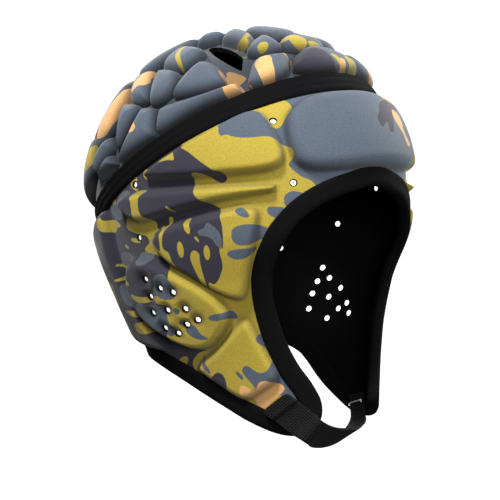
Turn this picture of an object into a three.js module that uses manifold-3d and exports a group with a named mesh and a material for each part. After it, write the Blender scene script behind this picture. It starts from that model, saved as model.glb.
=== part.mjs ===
// Padded head guard for contact sports, in millimetres.
// +Z is up, the wearer faces -Y, and the wearer's right is -X.
// The origin is the inside of the crown's top, where the wearer's head meets it.
import * as THREE from 'three';
import Module from 'manifold-3d';

const wasm = await Module();
wasm.setup();

// Head form: the hollow of the guard
const CROWN_RISE = 89; // widest level of the head up to the crown's inside
const MM_PER_DEG = 1.6; // chart scale, about the true length of one degree at the widest level
const SECTIONS = [
  { drop: 0, half: 84, front: 97, back: 105 },
  { drop: 30, half: 82, front: 96, back: 97 },
  { drop: 60, half: 74, front: 82, back: 86 },
  { drop: 90, half: 63, front: 75, back: 75 },
  { drop: 120, half: 54, front: 73, back: 66 },
  { drop: 160, half: 45, front: 72, back: 57 },
];

// Walls, pads and trim
const WALL = 3; // pressed laminate of lining, foam film and printed jersey
const SEAT = 0.7; // room under a pad, above the facets of the laminate
const FIT = 0.9; // room between the laminate and the tape or band over it
const PAD_ROUND = 6; // rounding radius at the rim of a pad
const TAPE = 1.2; // thickness of the binding tape, and of the tape at its fold
const TAPE_WIDTH = 8.5; // binding that shows on each face
const BAND_WIDTH = 12;
const BAND_THICK = 1.6;
const STRAP_THICK = 2.2;
const HOLE_RADIUS = 1.7;

// Joint of crown and surround: a plane tilted down to the back, at this distance from the form's centre
const RIM_TILT = 24;
const RIM_PLANE = 21.5;
const RIM_GAP = 0.5;

// Lower edge of the surround, from the brow's centre down the face opening, round the jaw tab to the nape:
// bearing in degrees round to the wearer's side, drop below the widest level, bearing of the rim above it
const EDGE = [
  { bearing: 0, drop: 5, rim: 0 },
  { bearing: 12, drop: 8.5, rim: 9 },
  { bearing: 22, drop: 13, rim: 17 },
  { bearing: 30.5, drop: 19.5, rim: 24 },
  { bearing: 37, drop: 27.5, rim: 30 },
  { bearing: 42, drop: 37.5, rim: 35 },
  { bearing: 45, drop: 50, rim: 40 },
  { bearing: 46, drop: 65, rim: 45 },
  { bearing: 44.5, drop: 82, rim: 50 },
  { bearing: 41, drop: 98, rim: 55 },
  { bearing: 35.5, drop: 113, rim: 60 },
  { bearing: 30, drop: 125, rim: 65 },
  { bearing: 27.5, drop: 136, rim: 70 },
  { bearing: 31, drop: 146, rim: 75 },
  { bearing: 41, drop: 152, rim: 80 },
  { bearing: 53, drop: 150, rim: 86 },
  { bearing: 67, drop: 141.5, rim: 93 },
  { bearing: 80, drop: 130.5, rim: 101 },
  { bearing: 94, drop: 119, rim: 110 },
  { bearing: 109, drop: 109, rim: 121 },
  { bearing: 124, drop: 101.5, rim: 133 },
  { bearing: 138, drop: 97.5, rim: 145 },
  { bearing: 152, drop: 95.5, rim: 156 },
  { bearing: 166, drop: 95, rim: 168 },
  { bearing: 180, drop: 95, rim: 180 },
];
const TAB_TIP = 13; // station of the jaw tab's tip in the table above
const NAPE = EDGE.length - 1;
const EDGE_SWING = 3; // how late a column of the surround turns from the rim to its place on the edge

// Crown pods on the crown's chart, in millimetres from its top to the wearer's side and to the front.
// Each has four corners and how far its four edges bow outwards. A narrow one has a closer seat of its own.
const SIDE_PODS = [
  { name: 'rim_front', a: [45, 44.5], b: [24.5, 54.5], c: [38, 66.5], d: [65, 55.5], bow: [0, 0, 2, 0] },
  { name: 'rim_long', a: [95, 1], b: [67, 47], c: [72, 54], d: [112, 4.5], bow: [-5, 0, 2, 1] },
  { name: 'rim_side', a: [92, -17], b: [95, -2.5], c: [114, -0.5], d: [120.5, -37.5], bow: [0, 0, 1, -2] },
  { name: 'side_rear', a: [81, -38], b: [89.5, -20.5], c: [97.5, -23], d: [110, -37.5], bow: [1, 0, 0, 1] },
  { name: 'lens', a: [86, 6.5], b: [58, 14.5], c: [70, 40.5], d: [83, 27], bow: [1, 2, 1, 1] },
  { name: 'lobe_front', a: [62, -16.5], b: [69, 3], c: [87.5, 2.5], d: [90, -10.5], bow: [1, 2, 1, 1] },
  { name: 'lobe_rear', a: [58.5, -22], b: [86.5, -14.5], c: [78, -34.5], d: [57, -38.5], bow: [0, 2, 1, 2] },
  { name: 'upper_rear', a: [36, -14], b: [46.5, 8.5], c: [65.5, 1.5], d: [58, -17.5], bow: [0, 1, 1, 2] },
  { name: 'top_small', a: [17, -10], b: [17, 2], c: [27, 3], d: [31, -9], bow: [1, 1, 1, 1] },
  { name: 'top', a: [11, 5], b: [20, 25], c: [36, 31.5], d: [29, 7], bow: [1, 1, 0, 1] },
  { name: 'top_front', a: [26, 28.5], b: [16, 31.5], c: [22, 47], d: [41, 38], bow: [1, 1, 2, 1] },
  { name: 'back_side', a: [59, -43], b: [91, -48], c: [94, -69], d: [65, -71], bow: [1, 1, 1, 1] },
  { name: 'back_round', a: [97, -49], b: [107.5, -46], c: [111, -70], d: [98, -73], bow: [1, 1, 1, 1] },
  {
    name: 'back_rim', bow: [0, 2, 0, 0], seat: 0.1,
    a: [112, -46], b: [119.5, -42.5], c: [111, -76], d: [113.5, -69],
  },
  { name: 'back_upper', a: [18, -14], b: [35, -18.5], c: [54, -41.5], d: [20, -58], bow: [1, 1, 1, 1] },
  { name: 'back_mid', a: [23, -61], b: [56, -45.5], c: [66, -97], d: [26, -107], bow: [0, 1, 1, 1] },
  { name: 'back_low', a: [70, -75], b: [102, -77], c: [72, -128], d: [29, -148], bow: [1, 4, 2, -4] },
];
const CENTRE_PODS = [
  { name: 'front', a: [-19, 56], b: [19, 56], c: [32, 67.5], d: [-32, 67.5], bow: [3, 1, 6, 1] },
  { name: 'front_upper', a: [-13, 38], b: [13, 38], c: [18, 48], d: [-18, 48], bow: [2, 1, 4, 1] },
  { name: 'top_centre', a: [-8, 6], b: [8, 6], c: [12, 33], d: [-12, 33], bow: [2, 0, 2, 0] },
  { name: 'back_centre_top', a: [-14, -13], b: [14, -13], c: [16, -57], d: [-16, -57], bow: [2, 0, 1, 0] },
  { name: 'back_centre', a: [-18, -61], b: [18, -61], c: [21, -106], d: [-21, -106], bow: [1, 0, 1, 0] },
  { name: 'back_nape', a: [-22, -110], b: [22, -110], c: [23, -150], d: [-23, -150], bow: [1, 0, 2, 0] },
];
const POD_HEIGHT = 6.5;

// Vents cut through the crown's laminate, on the same chart
const VENTS = [
  { a: [34, 6], b: [48, 37], c: [57.5, 44], d: [42, 10], bow: [0, 0, 2, 0] },
  { a: [93, -42.5], b: [116, -39.5], c: [117, -42.5], d: [94, -46], bow: [0, 0, 0, 0] },
];

// Pads of the surround: corners as bearing and drop, and the bow of each edge in millimetres
const SIDE_PADS = [
  {
    name: 'temple_pad', height: 6.5, bow: [0, 1, 1, 0],
    a: [93, -10], b: [45.5, -40], c: [40.5, -4], d: [92, -5.5],
  },
  {
    name: 'temple_rib', height: 6.5, bow: [0, 0, -2, 3],
    a: [110, 1.5], b: [45, 4.5], c: [46, 8.5], d: [97, 20.5],
  },
  {
    name: 'cheek_pad', height: 6.5, bow: [0, -3, 3, 4],
    a: [92.5, 27], b: [48.5, 17], c: [57.5, 68.5], d: [79, 51],
  },
  {
    name: 'jaw_pad', height: 5.5, bow: [-4, 0, 0, -2],
    a: [56.5, 81], b: [91, 107], c: [67, 132], d: [45.5, 118.5],
  },
  {
    name: 'rear_pad', height: 7, bow: [-21, 1, 2, 2],
    a: [115, 5], b: [97, 98.5], c: [146, 85], d: [148, 27],
  },
];
const EAR_DOME = { a: [104, 36], b: [67.5, 74], c: [84, 91], d: [114.5, 65], bow: [4, 3, 4, 4], height: 8 };
const CENTRE_PADS = [
  {
    name: 'forehead_pad', height: 7, bow: [8, 4, -4, 4],
    a: [-35, -45], b: [35, -45], c: [33, 0], d: [-33, 0],
  },
  {
    name: 'nape_pad', height: 7, bow: [-3, 1, 0, 1],
    a: [153, 28.5], b: [207, 28.5], c: [206, 84], d: [154, 84],
  },
];

// Vent holes punched through, as bearing and drop: the ear's group, and single ones in the grooves
const EAR_HOLES = [
  [101, 51], [102, 62], [104, 71.5], [100, 81], [94.5, 58], [88, 61],
  [84.5, 71], [80, 78], [92.5, 84.5], [86, 80], [94, 71],
];
const GROOVE_HOLES = [[41, -35], [37, 4.5], [99.5, -3.5], [101, 28]];

// Chin strap from the outside of the right tab to the inside of the left one: its front and rear edges.
// Rows with a lift lie on a tab, given as bearing, drop and lift; the others hang free, given as x, y, z
// from the form's centre.
const STRAP_EDGES = [
  { tab: true, front: [44.5, 126, 6.4], rear: [58.5, 136, 6.4] },
  { tab: true, front: [38, 134, 6.4], rear: [52, 144.5, 6.4] },
  { tab: true, front: [32, 141, 6.4], rear: [45.5, 152.5, 6.4] },
  { tab: true, front: [27.5, 146.5, 6.4], rear: [39, 158, 6.4] },
  { tab: false, front: [-9, -65, -150], rear: [-15, -51, -160] },
  { tab: false, front: [5, -61, -148.5], rear: [3, -46, -159] },
  { tab: false, front: [17, -57, -144.5], rear: [20, -43, -155] },
  { tab: true, front: [-37, 138, -5.6], rear: [-53, 146, -5.6] },
  { tab: true, front: [-42, 130, -5.4], rear: [-58, 137, -5.4] },
  { tab: true, front: [-47, 122, -5.4], rear: [-62, 129, -5.4] },
];
const STRAP_STEPS = 22;

// Sides of the facets
const CROWN_COLUMNS = 32;
const CROWN_ROWS = [0, 1 / 7, 2 / 7, 3 / 7, 4 / 7, 5 / 7, 6 / 7, 1]; // shares of the way from top to rim
const SURROUND_ROWS = [0, 0.18, 0.37, 0.56, 0.74, 0.9, 1]; // shares of the way from rim to edge
const BAND_COLUMNS = 44;
const HOLE_SIDES = 6;
const VENT_SIDES = 8;
const POD_SIDES = 12;
const EAR_SIDES = 12;
const PAD_SIDES = 16;
const LONG_PAD_SIDES = 20;
const WIDE_PAD_SIDES = 24;
const LONG_PAD = 38; // half length from which a pad has more facets
const WIDE_PAD = 55; // half length from which it has the most
const WIDE_POD = 20; // half length from which a pod's underside needs a ring of its own
const SQUARENESS = 3.6; // exponent of the rounded-square outline of a pad
const POD_RINGS = [0.9, 0.6];
const PAD_RINGS = [0.94, 0.8, 0.45];
const EAR_RINGS = [0.8];
const UNDERSIDE_RINGS = [0.55];
const WIDE_UNDERSIDE_RINGS = [0.35, 0.7];
const EAR_SOCKET = 1.025; // cut-out of the laminate round an ear dome, as a share of the dome's size

// Colours of the jersey and the trim
const SLATE = new THREE.MeshStandardMaterial({ color: 0x59636e, roughness: 0.85, metalness: 0 });
const MUSTARD = new THREE.MeshStandardMaterial({ color: 0xb5a03c, roughness: 0.85, metalness: 0 });
const CHARCOAL = new THREE.MeshStandardMaterial({ color: 0x3e3b46, roughness: 0.85, metalness: 0 });
const BLACK_TAPE = new THREE.MeshStandardMaterial({ color: 0x141414, roughness: 0.75, metalness: 0 });
const BLACK_WEBBING = new THREE.MeshStandardMaterial({ color: 0x1a1a1a, roughness: 0.9, metalness: 0 });

const rad = THREE.MathUtils.degToRad;
const deg = THREE.MathUtils.radToDeg;

// A smooth curve through one column of the section table, level at the top and with no overshoot.
// It gives the value and its slope at a drop.
function sectionCurve(column) {
  const steps = SECTIONS.slice(1).map((row, i) => row.drop - SECTIONS[i].drop);
  const rates = SECTIONS.slice(1).map((row, i) => (row[column] - SECTIONS[i][column]) / steps[i]);
  const slopes = SECTIONS.map((row, i) => {
    if (i === 0) return 0;
    if (i === rates.length) return rates[i - 1];
    return 2 / (1 / rates[i - 1] + 1 / rates[i]);
  });
  return (drop) => {
    const above = SECTIONS.findLastIndex((row) => row.drop <= drop);
    const i = Math.min(above, rates.length - 1);
    const t = (drop - SECTIONS[i].drop) / steps[i];
    const start = SECTIONS[i][column];
    const bend = 3 * rates[i] - 2 * slopes[i] - slopes[i + 1];
    const twist = slopes[i] + slopes[i + 1] - 2 * rates[i];
    const value = start + steps[i] * t * (slopes[i] + t * (bend + t * twist));
    const slope = slopes[i] + t * (2 * bend + 3 * t * twist);
    return [value, slope];
  };
}
const halfWidth = sectionCurve('half');
const frontReach = sectionCurve('front');
const backReach = sectionCurve('back');

// A point of the head form by its bearing from the front and its drop below the widest level (negative over
// the dome), lifted along the surface's normal.
function skin(bearing, drop, lift) {
  const turn = rad(bearing);
  const below = Math.max(drop, 0);
  const [half, halfSlope] = halfWidth(below);
  const [reach, reachSlope] = (Math.cos(turn) > 0 ? frontReach : backReach)(below);
  const latitude = rad(90 + Math.min(drop, 0) / MM_PER_DEG);
  const x = -half * Math.sin(latitude) * Math.sin(turn);
  const y = -reach * Math.sin(latitude) * Math.cos(turn);
  const z = CROWN_RISE * Math.cos(latitude) - below;
  const domeRise = z / CROWN_RISE ** 2;
  const wallRise = (x ** 2 * halfSlope) / half ** 3 + (y ** 2 * reachSlope) / reach ** 3;
  const rise = drop < 0 ? domeRise : wallRise;
  const normal = new THREE.Vector3(x / half ** 2, y / reach ** 2, rise).normalize();
  return new THREE.Vector3(x, y, z - CROWN_RISE).addScaledVector(normal, lift);
}

// The crown's chart: millimetres from the top to the wearer's side and to the front.
function crownSkin(spot, lift) {
  const bearing = deg(Math.atan2(spot.x, spot.y));
  const drop = spot.length() - 90 * MM_PER_DEG;
  return skin(bearing, drop, lift);
}

// The surround's chart: bearing scaled to millimetres, and drop.
function sideSkin(spot, lift) {
  return skin(spot.x / MM_PER_DEG, spot.y, lift);
}

// Drop of the tilted rim plane at a bearing.
function rimDrop(bearing) {
  const turn = rad(bearing);
  const reach = Math.cos(turn) > 0 ? SECTIONS[0].front : SECTIONS[0].back;
  const up = CROWN_RISE * Math.cos(rad(RIM_TILT));
  const ahead = -reach * Math.cos(turn) * Math.sin(rad(RIM_TILT));
  const latitude = Math.atan2(ahead, up) + Math.acos(RIM_PLANE / Math.hypot(ahead, up));
  return MM_PER_DEG * (deg(latitude) - 90);
}

// Points and triangles of one closed body.
class Facets {
  constructor() {
    this.points = [];
    this.triangles = [];
  }

  add(point) {
    return this.points.push(point) - 1;
  }

  triangle(a, b, c) {
    this.triangles.push([a, b, c]);
  }

  // Four corners, split along the shorter diagonal.
  quad(a, b, c, d) {
    const [pa, pb, pc, pd] = [a, b, c, d].map((id) => this.points[id]);
    if (pa.distanceTo(pc) < pb.distanceTo(pd)) {
      this.triangle(a, b, c);
      this.triangle(a, c, d);
    } else {
      this.triangle(a, b, d);
      this.triangle(b, c, d);
    }
  }

  // Joins two rings of the same count with a band of quads.
  join(upper, lower) {
    upper.forEach((id, i) => {
      const next = (i + 1) % upper.length;
      this.quad(id, upper[next], lower[next], lower[i]);
    });
  }

  // Closes a ring with a fan round a centre.
  fan(ring, centre) {
    ring.forEach((id, i) => this.triangle(id, ring[(i + 1) % ring.length], centre));
  }

  // The geometry, with its faces turned outwards.
  geometry() {
    const volume = this.triangles.reduce((sum, [a, b, c]) => {
      const side = new THREE.Vector3().crossVectors(this.points[b], this.points[c]);
      return sum + this.points[a].dot(side);
    }, 0);
    const faces = volume > 0 ? this.triangles : this.triangles.map(([a, b, c]) => [a, c, b]);
    const geometry = new THREE.BufferGeometry().setFromPoints(this.points);
    geometry.setIndex(faces.flat());
    return geometry;
  }
}

// A four-cornered patch of a chart with bowed edges: a function of two parameters from -1 to 1.
function patch(row, scale) {
  const [a, b, c, d] = [row.a, row.b, row.c, row.d].map(([x, y]) => new THREE.Vector2(x * scale, y));
  const centre = new THREE.Vector2().add(a).add(b).add(c).add(d).divideScalar(4);
  const bowed = (from, to, bow) => {
    const along = to.clone().sub(from);
    const out = new THREE.Vector2(along.y, -along.x).normalize();
    const middle = from.clone().add(to).divideScalar(2).sub(centre);
    return out.multiplyScalar(out.dot(middle) < 0 ? -bow : bow);
  };
  const sides = [[a, b], [b, c], [c, d], [d, a]];
  const bows = sides.map(([from, to], i) => bowed(from, to, row.bow[i]));
  return (s, t) => {
    const spot = new THREE.Vector2();
    spot.addScaledVector(a, (1 - s) * (1 - t) / 4);
    spot.addScaledVector(b, (1 + s) * (1 - t) / 4);
    spot.addScaledVector(c, (1 + s) * (1 + t) / 4);
    spot.addScaledVector(d, (1 - s) * (1 + t) / 4);
    spot.addScaledVector(bows[0], (1 - s * s) * (1 - t) / 2);
    spot.addScaledVector(bows[1], (1 - t * t) * (1 + s) / 2);
    spot.addScaledVector(bows[2], (1 - s * s) * (1 + t) / 2);
    spot.addScaledVector(bows[3], (1 - t * t) * (1 - s) / 2);
    return spot;
  };
}

// A ring of a patch: even steps round a square of its two parameters, drawn in to a rounded square.
function patchRing(place, size, sides) {
  return Array.from({ length: sides }, (_, i) => {
    const way = (8 * i) / sides;
    const along = (way % 2) - 1;
    const [s, t] = [[along, -1], [1, along], [-along, 1], [-1, -along]][Math.floor(way / 2)];
    const draw = size / (Math.abs(s) ** SQUARENESS + Math.abs(t) ** SQUARENESS) ** (1 / SQUARENESS);
    return place(s * draw, t * draw);
  });
}

// Shortest distance from a spot of a chart to a closed outline.
function distanceTo(outline, spot) {
  const near = new THREE.Vector3();
  const target = new THREE.Vector3(spot.x, spot.y, 0);
  return outline.reduce((least, from, i) => {
    const to = outline[(i + 1) % outline.length];
    const side = new THREE.Line3(new THREE.Vector3(from.x, from.y, 0), new THREE.Vector3(to.x, to.y, 0));
    side.closestPointToPoint(target, true, near);
    return Math.min(least, near.distanceTo(target));
  }, Infinity);
}

// A solid through stacked rings of a chart, each with its spots and lifts, closed by a centre at each end.
function stackGeometry(layers, centre, toSkin, foot, top) {
  const body = new Facets();
  const rings = layers.map(({ spots, lifts }) => spots.map((spot, i) => body.add(toSkin(spot, lifts[i]))));
  rings.slice(1).forEach((ring, i) => body.join(rings[i], ring));
  body.fan([...rings[0]].reverse(), body.add(toSkin(centre, foot)));
  body.fan(rings.at(-1), body.add(toSkin(centre, top)));
  return body.geometry();
}

// A pad: an underside that follows the form at its root, or else at its seat on the laminate, and a top
// that rounds up from its rim.
function padGeometry(row, { scale, toSkin, sides, rings, height, underside, root: sunkRoot }) {
  const place = patch(row, scale);
  const outline = patchRing(place, 1, sides);
  const foot = WALL + (row.seat ?? SEAT);
  const root = sunkRoot ?? foot;
  const rise = (spot) => {
    const reach = Math.min(distanceTo(outline, spot) / PAD_ROUND, 1);
    return foot + height * Math.sqrt(1 - (1 - reach) ** 2);
  };
  const level = (size, lift) => {
    const spots = patchRing(place, size, sides);
    return { spots, lifts: spots.map(() => lift) };
  };
  const raised = (size) => {
    const spots = patchRing(place, size, sides);
    return { spots, lifts: spots.map(rise) };
  };
  const below = [...underside, 1].map((size) => level(size, root));
  const collar = root < foot ? [level(1, foot)] : [];
  const layers = [...below, ...collar, ...rings.map(raised)];
  const centre = place(0, 0);
  return stackGeometry(layers, centre, toSkin, root, rise(centre));
}

// Half length of a pad or pod on its chart.
function halfLength(row, scale) {
  const place = patch(row, scale);
  return Math.max(...patchRing(place, 1, POD_SIDES).map((spot) => spot.distanceTo(place(0, 0))));
}

// A plug right through the laminate, for cutting a vent.
function plugGeometry(place, size, sides, toSkin, low, high) {
  const spots = patchRing(place, size, sides);
  const layer = (lift) => ({ spots, lifts: spots.map(() => lift) });
  return stackGeometry([layer(low), layer(high)], place(0, 0), toSkin, low, high);
}

// A round plug at a bearing and drop, for punching a hole.
function holeGeometry([bearing, drop]) {
  const middle = new THREE.Vector2(bearing * MM_PER_DEG, drop);
  const narrowing = halfWidth(Math.max(drop, 0))[0] / SECTIONS[0].half;
  const spots = Array.from({ length: HOLE_SIDES }, (_, i) => {
    const turn = (2 * Math.PI * i) / HOLE_SIDES;
    const across = (HOLE_RADIUS * Math.cos(turn)) / narrowing;
    return new THREE.Vector2(middle.x + across, middle.y + HOLE_RADIUS * Math.sin(turn));
  });
  const low = -2 * WALL;
  const high = 6 * WALL;
  const layer = (lift) => ({ spots, lifts: spots.map(() => lift) });
  return stackGeometry([layer(low), layer(high)], middle, sideSkin, low, high);
}

// The same body on the wearer's other side.
function mirrored(geometry) {
  const copy = geometry.clone().scale(-1, 1, 1);
  const index = copy.getIndex().array;
  for (let i = 0; i < index.length; i += 3) {
    [index[i + 1], index[i + 2]] = [index[i + 2], index[i + 1]];
  }
  return copy;
}

// Cuts plugs out of a body.
function cut(geometry, plugs) {
  const solid = (source) => new wasm.Manifold(new wasm.Mesh({
    numProp: 3,
    vertProperties: new Float32Array(source.getAttribute('position').array),
    triVerts: new Uint32Array(source.getIndex().array),
  }));
  const result = plugs.reduce((body, plug) => body.subtract(solid(plug)), solid(geometry)).getMesh();
  const output = new THREE.BufferGeometry();
  output.setAttribute('position', new THREE.BufferAttribute(result.vertProperties, 3));
  output.setIndex(new THREE.BufferAttribute(result.triVerts, 1));
  return output;
}

// A wall between two lifts over a grid of chart spots: columns go round, rows go down from the top.
// With an apex, the first row closes in one point.
function wallGeometry(columns, rows, spotAt, apex) {
  const body = new Facets();
  const firstRow = apex ? 1 : 0;
  const ringsAt = (lift) => rows.slice(firstRow).map((share) => Array.from({ length: columns }, (_, i) => {
    const { bearing, drop } = spotAt(i, share);
    return body.add(skin(bearing, drop, lift));
  }));
  const outer = ringsAt(WALL);
  const inner = ringsAt(0);
  outer.slice(1).forEach((ring, i) => body.join(outer[i], ring));
  inner.slice(1).forEach((ring, i) => body.join(ring, inner[i]));
  body.join(outer.at(-1), inner.at(-1));
  if (apex) {
    body.fan([...outer[0]].reverse(), body.add(skin(0, -90 * MM_PER_DEG, WALL)));
    body.fan(inner[0], body.add(skin(0, -90 * MM_PER_DEG, 0)));
  } else {
    body.join(inner[0], outer[0]);
  }
  return body.geometry();
}

// A strip swept through sections, each with an outer and an inner row of points of the same count.
function sweepGeometry(sections, closed) {
  const body = new Facets();
  const round = ({ outer, inner }) => [...outer, ...[...inner].reverse()];
  const loops = sections.map((section) => round(section).map((point) => body.add(point)));
  loops.slice(1).forEach((loop, i) => body.join(loops[i], loop));
  if (closed) {
    body.join(loops.at(-1), loops[0]);
    return body.geometry();
  }
  const cap = (loop) => {
    const last = loop.length - 1;
    for (let i = 0; i < loop.length / 2 - 1; i += 1) {
      body.quad(loop[i], loop[i + 1], loop[last - i - 1], loop[last - i]);
    }
  };
  cap([...loops[0]].reverse());
  cap(loops.at(-1));
  return body.geometry();
}

// The lower edge of the surround as a smooth curve of its stations.
// Negative stations are on the wearer's left.
const edgeRows = [
  { ...EDGE[1], bearing: -EDGE[1].bearing, rim: -EDGE[1].rim },
  ...EDGE,
  { ...EDGE[NAPE - 1], bearing: 360 - EDGE[NAPE - 1].bearing, rim: 360 - EDGE[NAPE - 1].rim },
];
const edgeCurve = new THREE.CatmullRomCurve3(
  edgeRows.map((row) => new THREE.Vector3(row.bearing, row.drop, row.rim)),
  false,
  'catmullrom',
);

function edgeAt(station) {
  const spot = edgeCurve.getPoint((Math.abs(station) + 1) / (edgeRows.length - 1));
  const side = station < 0 ? -1 : 1;
  return { bearing: side * spot.x, drop: spot.y, rim: side * spot.z };
}

// A point beside the edge: a distance in from it along the surface, and a lift.
function besideEdge(station, distance, lift) {
  const small = 0.02;
  const { bearing, drop } = edgeAt(station);
  const onSkin = (spot) => skin(spot.bearing, spot.drop, 0);
  const along = onSkin(edgeAt(station + small)).sub(onSkin(edgeAt(station - small))).normalize();
  const out = skin(bearing, drop, 1).sub(skin(bearing, drop, 0));
  const inwards = new THREE.Vector3().crossVectors(along, out).normalize();
  const perBearing = skin(bearing + 0.5, drop, 0).sub(skin(bearing - 0.5, drop, 0));
  const perDrop = skin(bearing, drop + 0.5, 0).sub(skin(bearing, drop - 0.5, 0));
  const bb = perBearing.lengthSq();
  const dd = perDrop.lengthSq();
  const bd = perBearing.dot(perDrop);
  const b = inwards.dot(perBearing);
  const d = inwards.dot(perDrop);
  const scale = distance / (bb * dd - bd * bd);
  return skin(bearing + (b * dd - d * bd) * scale, drop + (d * bb - b * bd) * scale, lift);
}

// Binding tape folded over the edge, between two stations.
function bindingGeometry(stations) {
  const sections = stations.map((station) => {
    const at = (distance, lift) => besideEdge(station, distance, lift);
    const top = WALL + FIT;
    return {
      outer: [
        at(TAPE_WIDTH, top + TAPE), at(-FIT - TAPE, top + TAPE / 2), at(-FIT - TAPE, -FIT - TAPE / 2),
        at(TAPE_WIDTH, -FIT - TAPE),
      ],
      inner: [at(TAPE_WIDTH, top), at(-FIT, top), at(-FIT, -FIT), at(TAPE_WIDTH, -FIT)],
    };
  });
  return sweepGeometry(sections, false);
}

// Elastic band round the joint of crown and surround.
function bandGeometry() {
  const low = WALL + FIT;
  const high = low + BAND_THICK;
  const sections = Array.from({ length: BAND_COLUMNS }, (_, i) => {
    const bearing = (360 * i) / BAND_COLUMNS;
    const middle = rimDrop(bearing);
    const across = [-BAND_WIDTH / 2, BAND_WIDTH / 2];
    return {
      outer: across.map((step) => skin(bearing, middle + step, high)),
      inner: across.map((step) => skin(bearing, middle + step, low)),
    };
  });
  return sweepGeometry(sections, true);
}

// Webbing between two edges, thickened away from the wearer.
function strapGeometry() {
  const fromCentre = new THREE.Vector3(0, 0, -CROWN_RISE);
  const edge = (side) => new THREE.CatmullRomCurve3(STRAP_EDGES.map((row) => {
    const place = row[side];
    return row.tab ? skin(...place) : new THREE.Vector3(...place).add(fromCentre);
  }));
  const front = edge('front');
  const rear = edge('rear');
  const sections = Array.from({ length: STRAP_STEPS + 1 }, (_, i) => {
    const t = i / STRAP_STEPS;
    const across = rear.getPoint(t).sub(front.getPoint(t));
    const along = front.getTangent(t).add(rear.getTangent(t));
    const out = new THREE.Vector3().crossVectors(across, along).normalize();
    const inner = [0, 0.5, 1].map((share) => front.getPoint(t).addScaledVector(across, share));
    const outer = inner.map((point) => point.clone().addScaledVector(out, STRAP_THICK));
    return { outer, inner };
  });
  return sweepGeometry(sections, false);
}

// Crown and surround
function crownShell() {
  const dome = wallGeometry(CROWN_COLUMNS, CROWN_ROWS, (column, depth) => {
    const bearing = (360 * column) / CROWN_COLUMNS;
    const top = -90 * MM_PER_DEG;
    return { bearing, drop: top + depth * (rimDrop(bearing) - RIM_GAP / 2 - top) };
  }, true);
  const plug = (vent) => plugGeometry(patch(vent, 1), 1, VENT_SIDES, crownSkin, -WALL, 3 * WALL);
  const plugs = VENTS.map(plug);
  return cut(dome, [...plugs, ...plugs.map(mirrored)]);
}

function surroundShell() {
  const wall = wallGeometry(2 * NAPE, SURROUND_ROWS, (column, depth) => {
    const station = column <= NAPE ? column : column - 2 * NAPE;
    const edge = edgeAt(station);
    const top = rimDrop(edge.rim) + RIM_GAP / 2;
    const bearing = edge.rim + (edge.bearing - edge.rim) * depth ** EDGE_SWING;
    return { bearing, drop: top + (edge.drop - top) * depth };
  }, false);
  const earPatch = patch(EAR_DOME, MM_PER_DEG);
  const socket = plugGeometry(earPatch, EAR_SOCKET, EAR_SIDES, sideSkin, -2 * WALL, 4 * WALL);
  const plugs = [socket, ...GROOVE_HOLES.map(holeGeometry)];
  return cut(wall, [...plugs, ...plugs.map(mirrored)]);
}

function pod(row) {
  const underside = halfLength(row, 1) > WIDE_POD ? UNDERSIDE_RINGS : [];
  const make = { scale: 1, toSkin: crownSkin, sides: POD_SIDES, rings: POD_RINGS };
  return padGeometry(row, { ...make, height: POD_HEIGHT, underside });
}

function sidePad(row) {
  const length = halfLength(row, MM_PER_DEG);
  const wide = length > WIDE_PAD;
  const longSides = length > LONG_PAD ? LONG_PAD_SIDES : PAD_SIDES;
  const sides = wide ? WIDE_PAD_SIDES : longSides;
  const underside = wide ? WIDE_UNDERSIDE_RINGS : UNDERSIDE_RINGS;
  const make = { scale: MM_PER_DEG, toSkin: sideSkin, sides, rings: PAD_RINGS, underside };
  return padGeometry(row, { ...make, height: row.height });
}

// The ear dome sits in a cut-out of the laminate, level with the lining, and is punched through.
function earDome() {
  const make = { scale: MM_PER_DEG, toSkin: sideSkin, sides: EAR_SIDES, rings: EAR_RINGS };
  const dome = padGeometry(EAR_DOME, { ...make, height: EAR_DOME.height, underside: [], root: 0 });
  return cut(dome, EAR_HOLES.map(holeGeometry));
}

// The head guard
const headGuard = new THREE.Group();
headGuard.name = 'head_guard';

function place(name, geometry, material) {
  const mesh = new THREE.Mesh(geometry, material);
  mesh.name = name;
  headGuard.add(mesh);
}

function placePair(name, geometry, material) {
  place(`${name}_right`, geometry, material);
  place(`${name}_left`, mirrored(geometry), material);
}

place('crown_shell', crownShell(), CHARCOAL);
place('surround_shell', surroundShell(), MUSTARD);
place('crown_band', bandGeometry(), BLACK_TAPE);
CENTRE_PODS.forEach((row) => place(`crown_${row.name}`, pod(row), SLATE));
SIDE_PODS.forEach((row) => placePair(`crown_${row.name}`, pod(row), SLATE));
CENTRE_PADS.forEach((row) => place(row.name, sidePad(row), SLATE));
SIDE_PADS.forEach((row) => placePair(row.name, sidePad(row), MUSTARD));
placePair('ear_dome', earDome(), MUSTARD);

// The two tapes meet at the tips of the jaw tabs, a hair apart.
const TAPE_END = 0.03;
const steps = (from, to) => Array.from({ length: to - from + 1 }, (_, i) => from + i);
const faceStations = steps(-TAB_TIP, TAB_TIP);
faceStations[0] += TAPE_END;
faceStations[faceStations.length - 1] -= TAPE_END;
const rightStations = steps(TAB_TIP, NAPE);
rightStations[0] += TAPE_END;
const leftStations = rightStations.slice(0, -1).reverse().map((station) => -station);
place('face_binding', bindingGeometry(faceStations), BLACK_TAPE);
place('neck_binding', bindingGeometry([...rightStations, ...leftStations]), BLACK_TAPE);
place('chin_strap', strapGeometry(), BLACK_WEBBING);

export default headGuard;
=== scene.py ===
# %% [markdown]
# # A padded head guard
# This soft guard for ball sports is a hollow cap of thin laminate, carried down over the temples, ears
# and jaw. Rounded foam pads stand out under a printed jersey, black tape binds the edges, and webbing
# runs under the chin. The frame holds its solids at real size. This lesson dresses them with surfaces
# worked out with numpy, one piece of the guard at a time.

# %% The frame
import bpy
import numpy as np
from mathutils import Matrix, Vector


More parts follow.
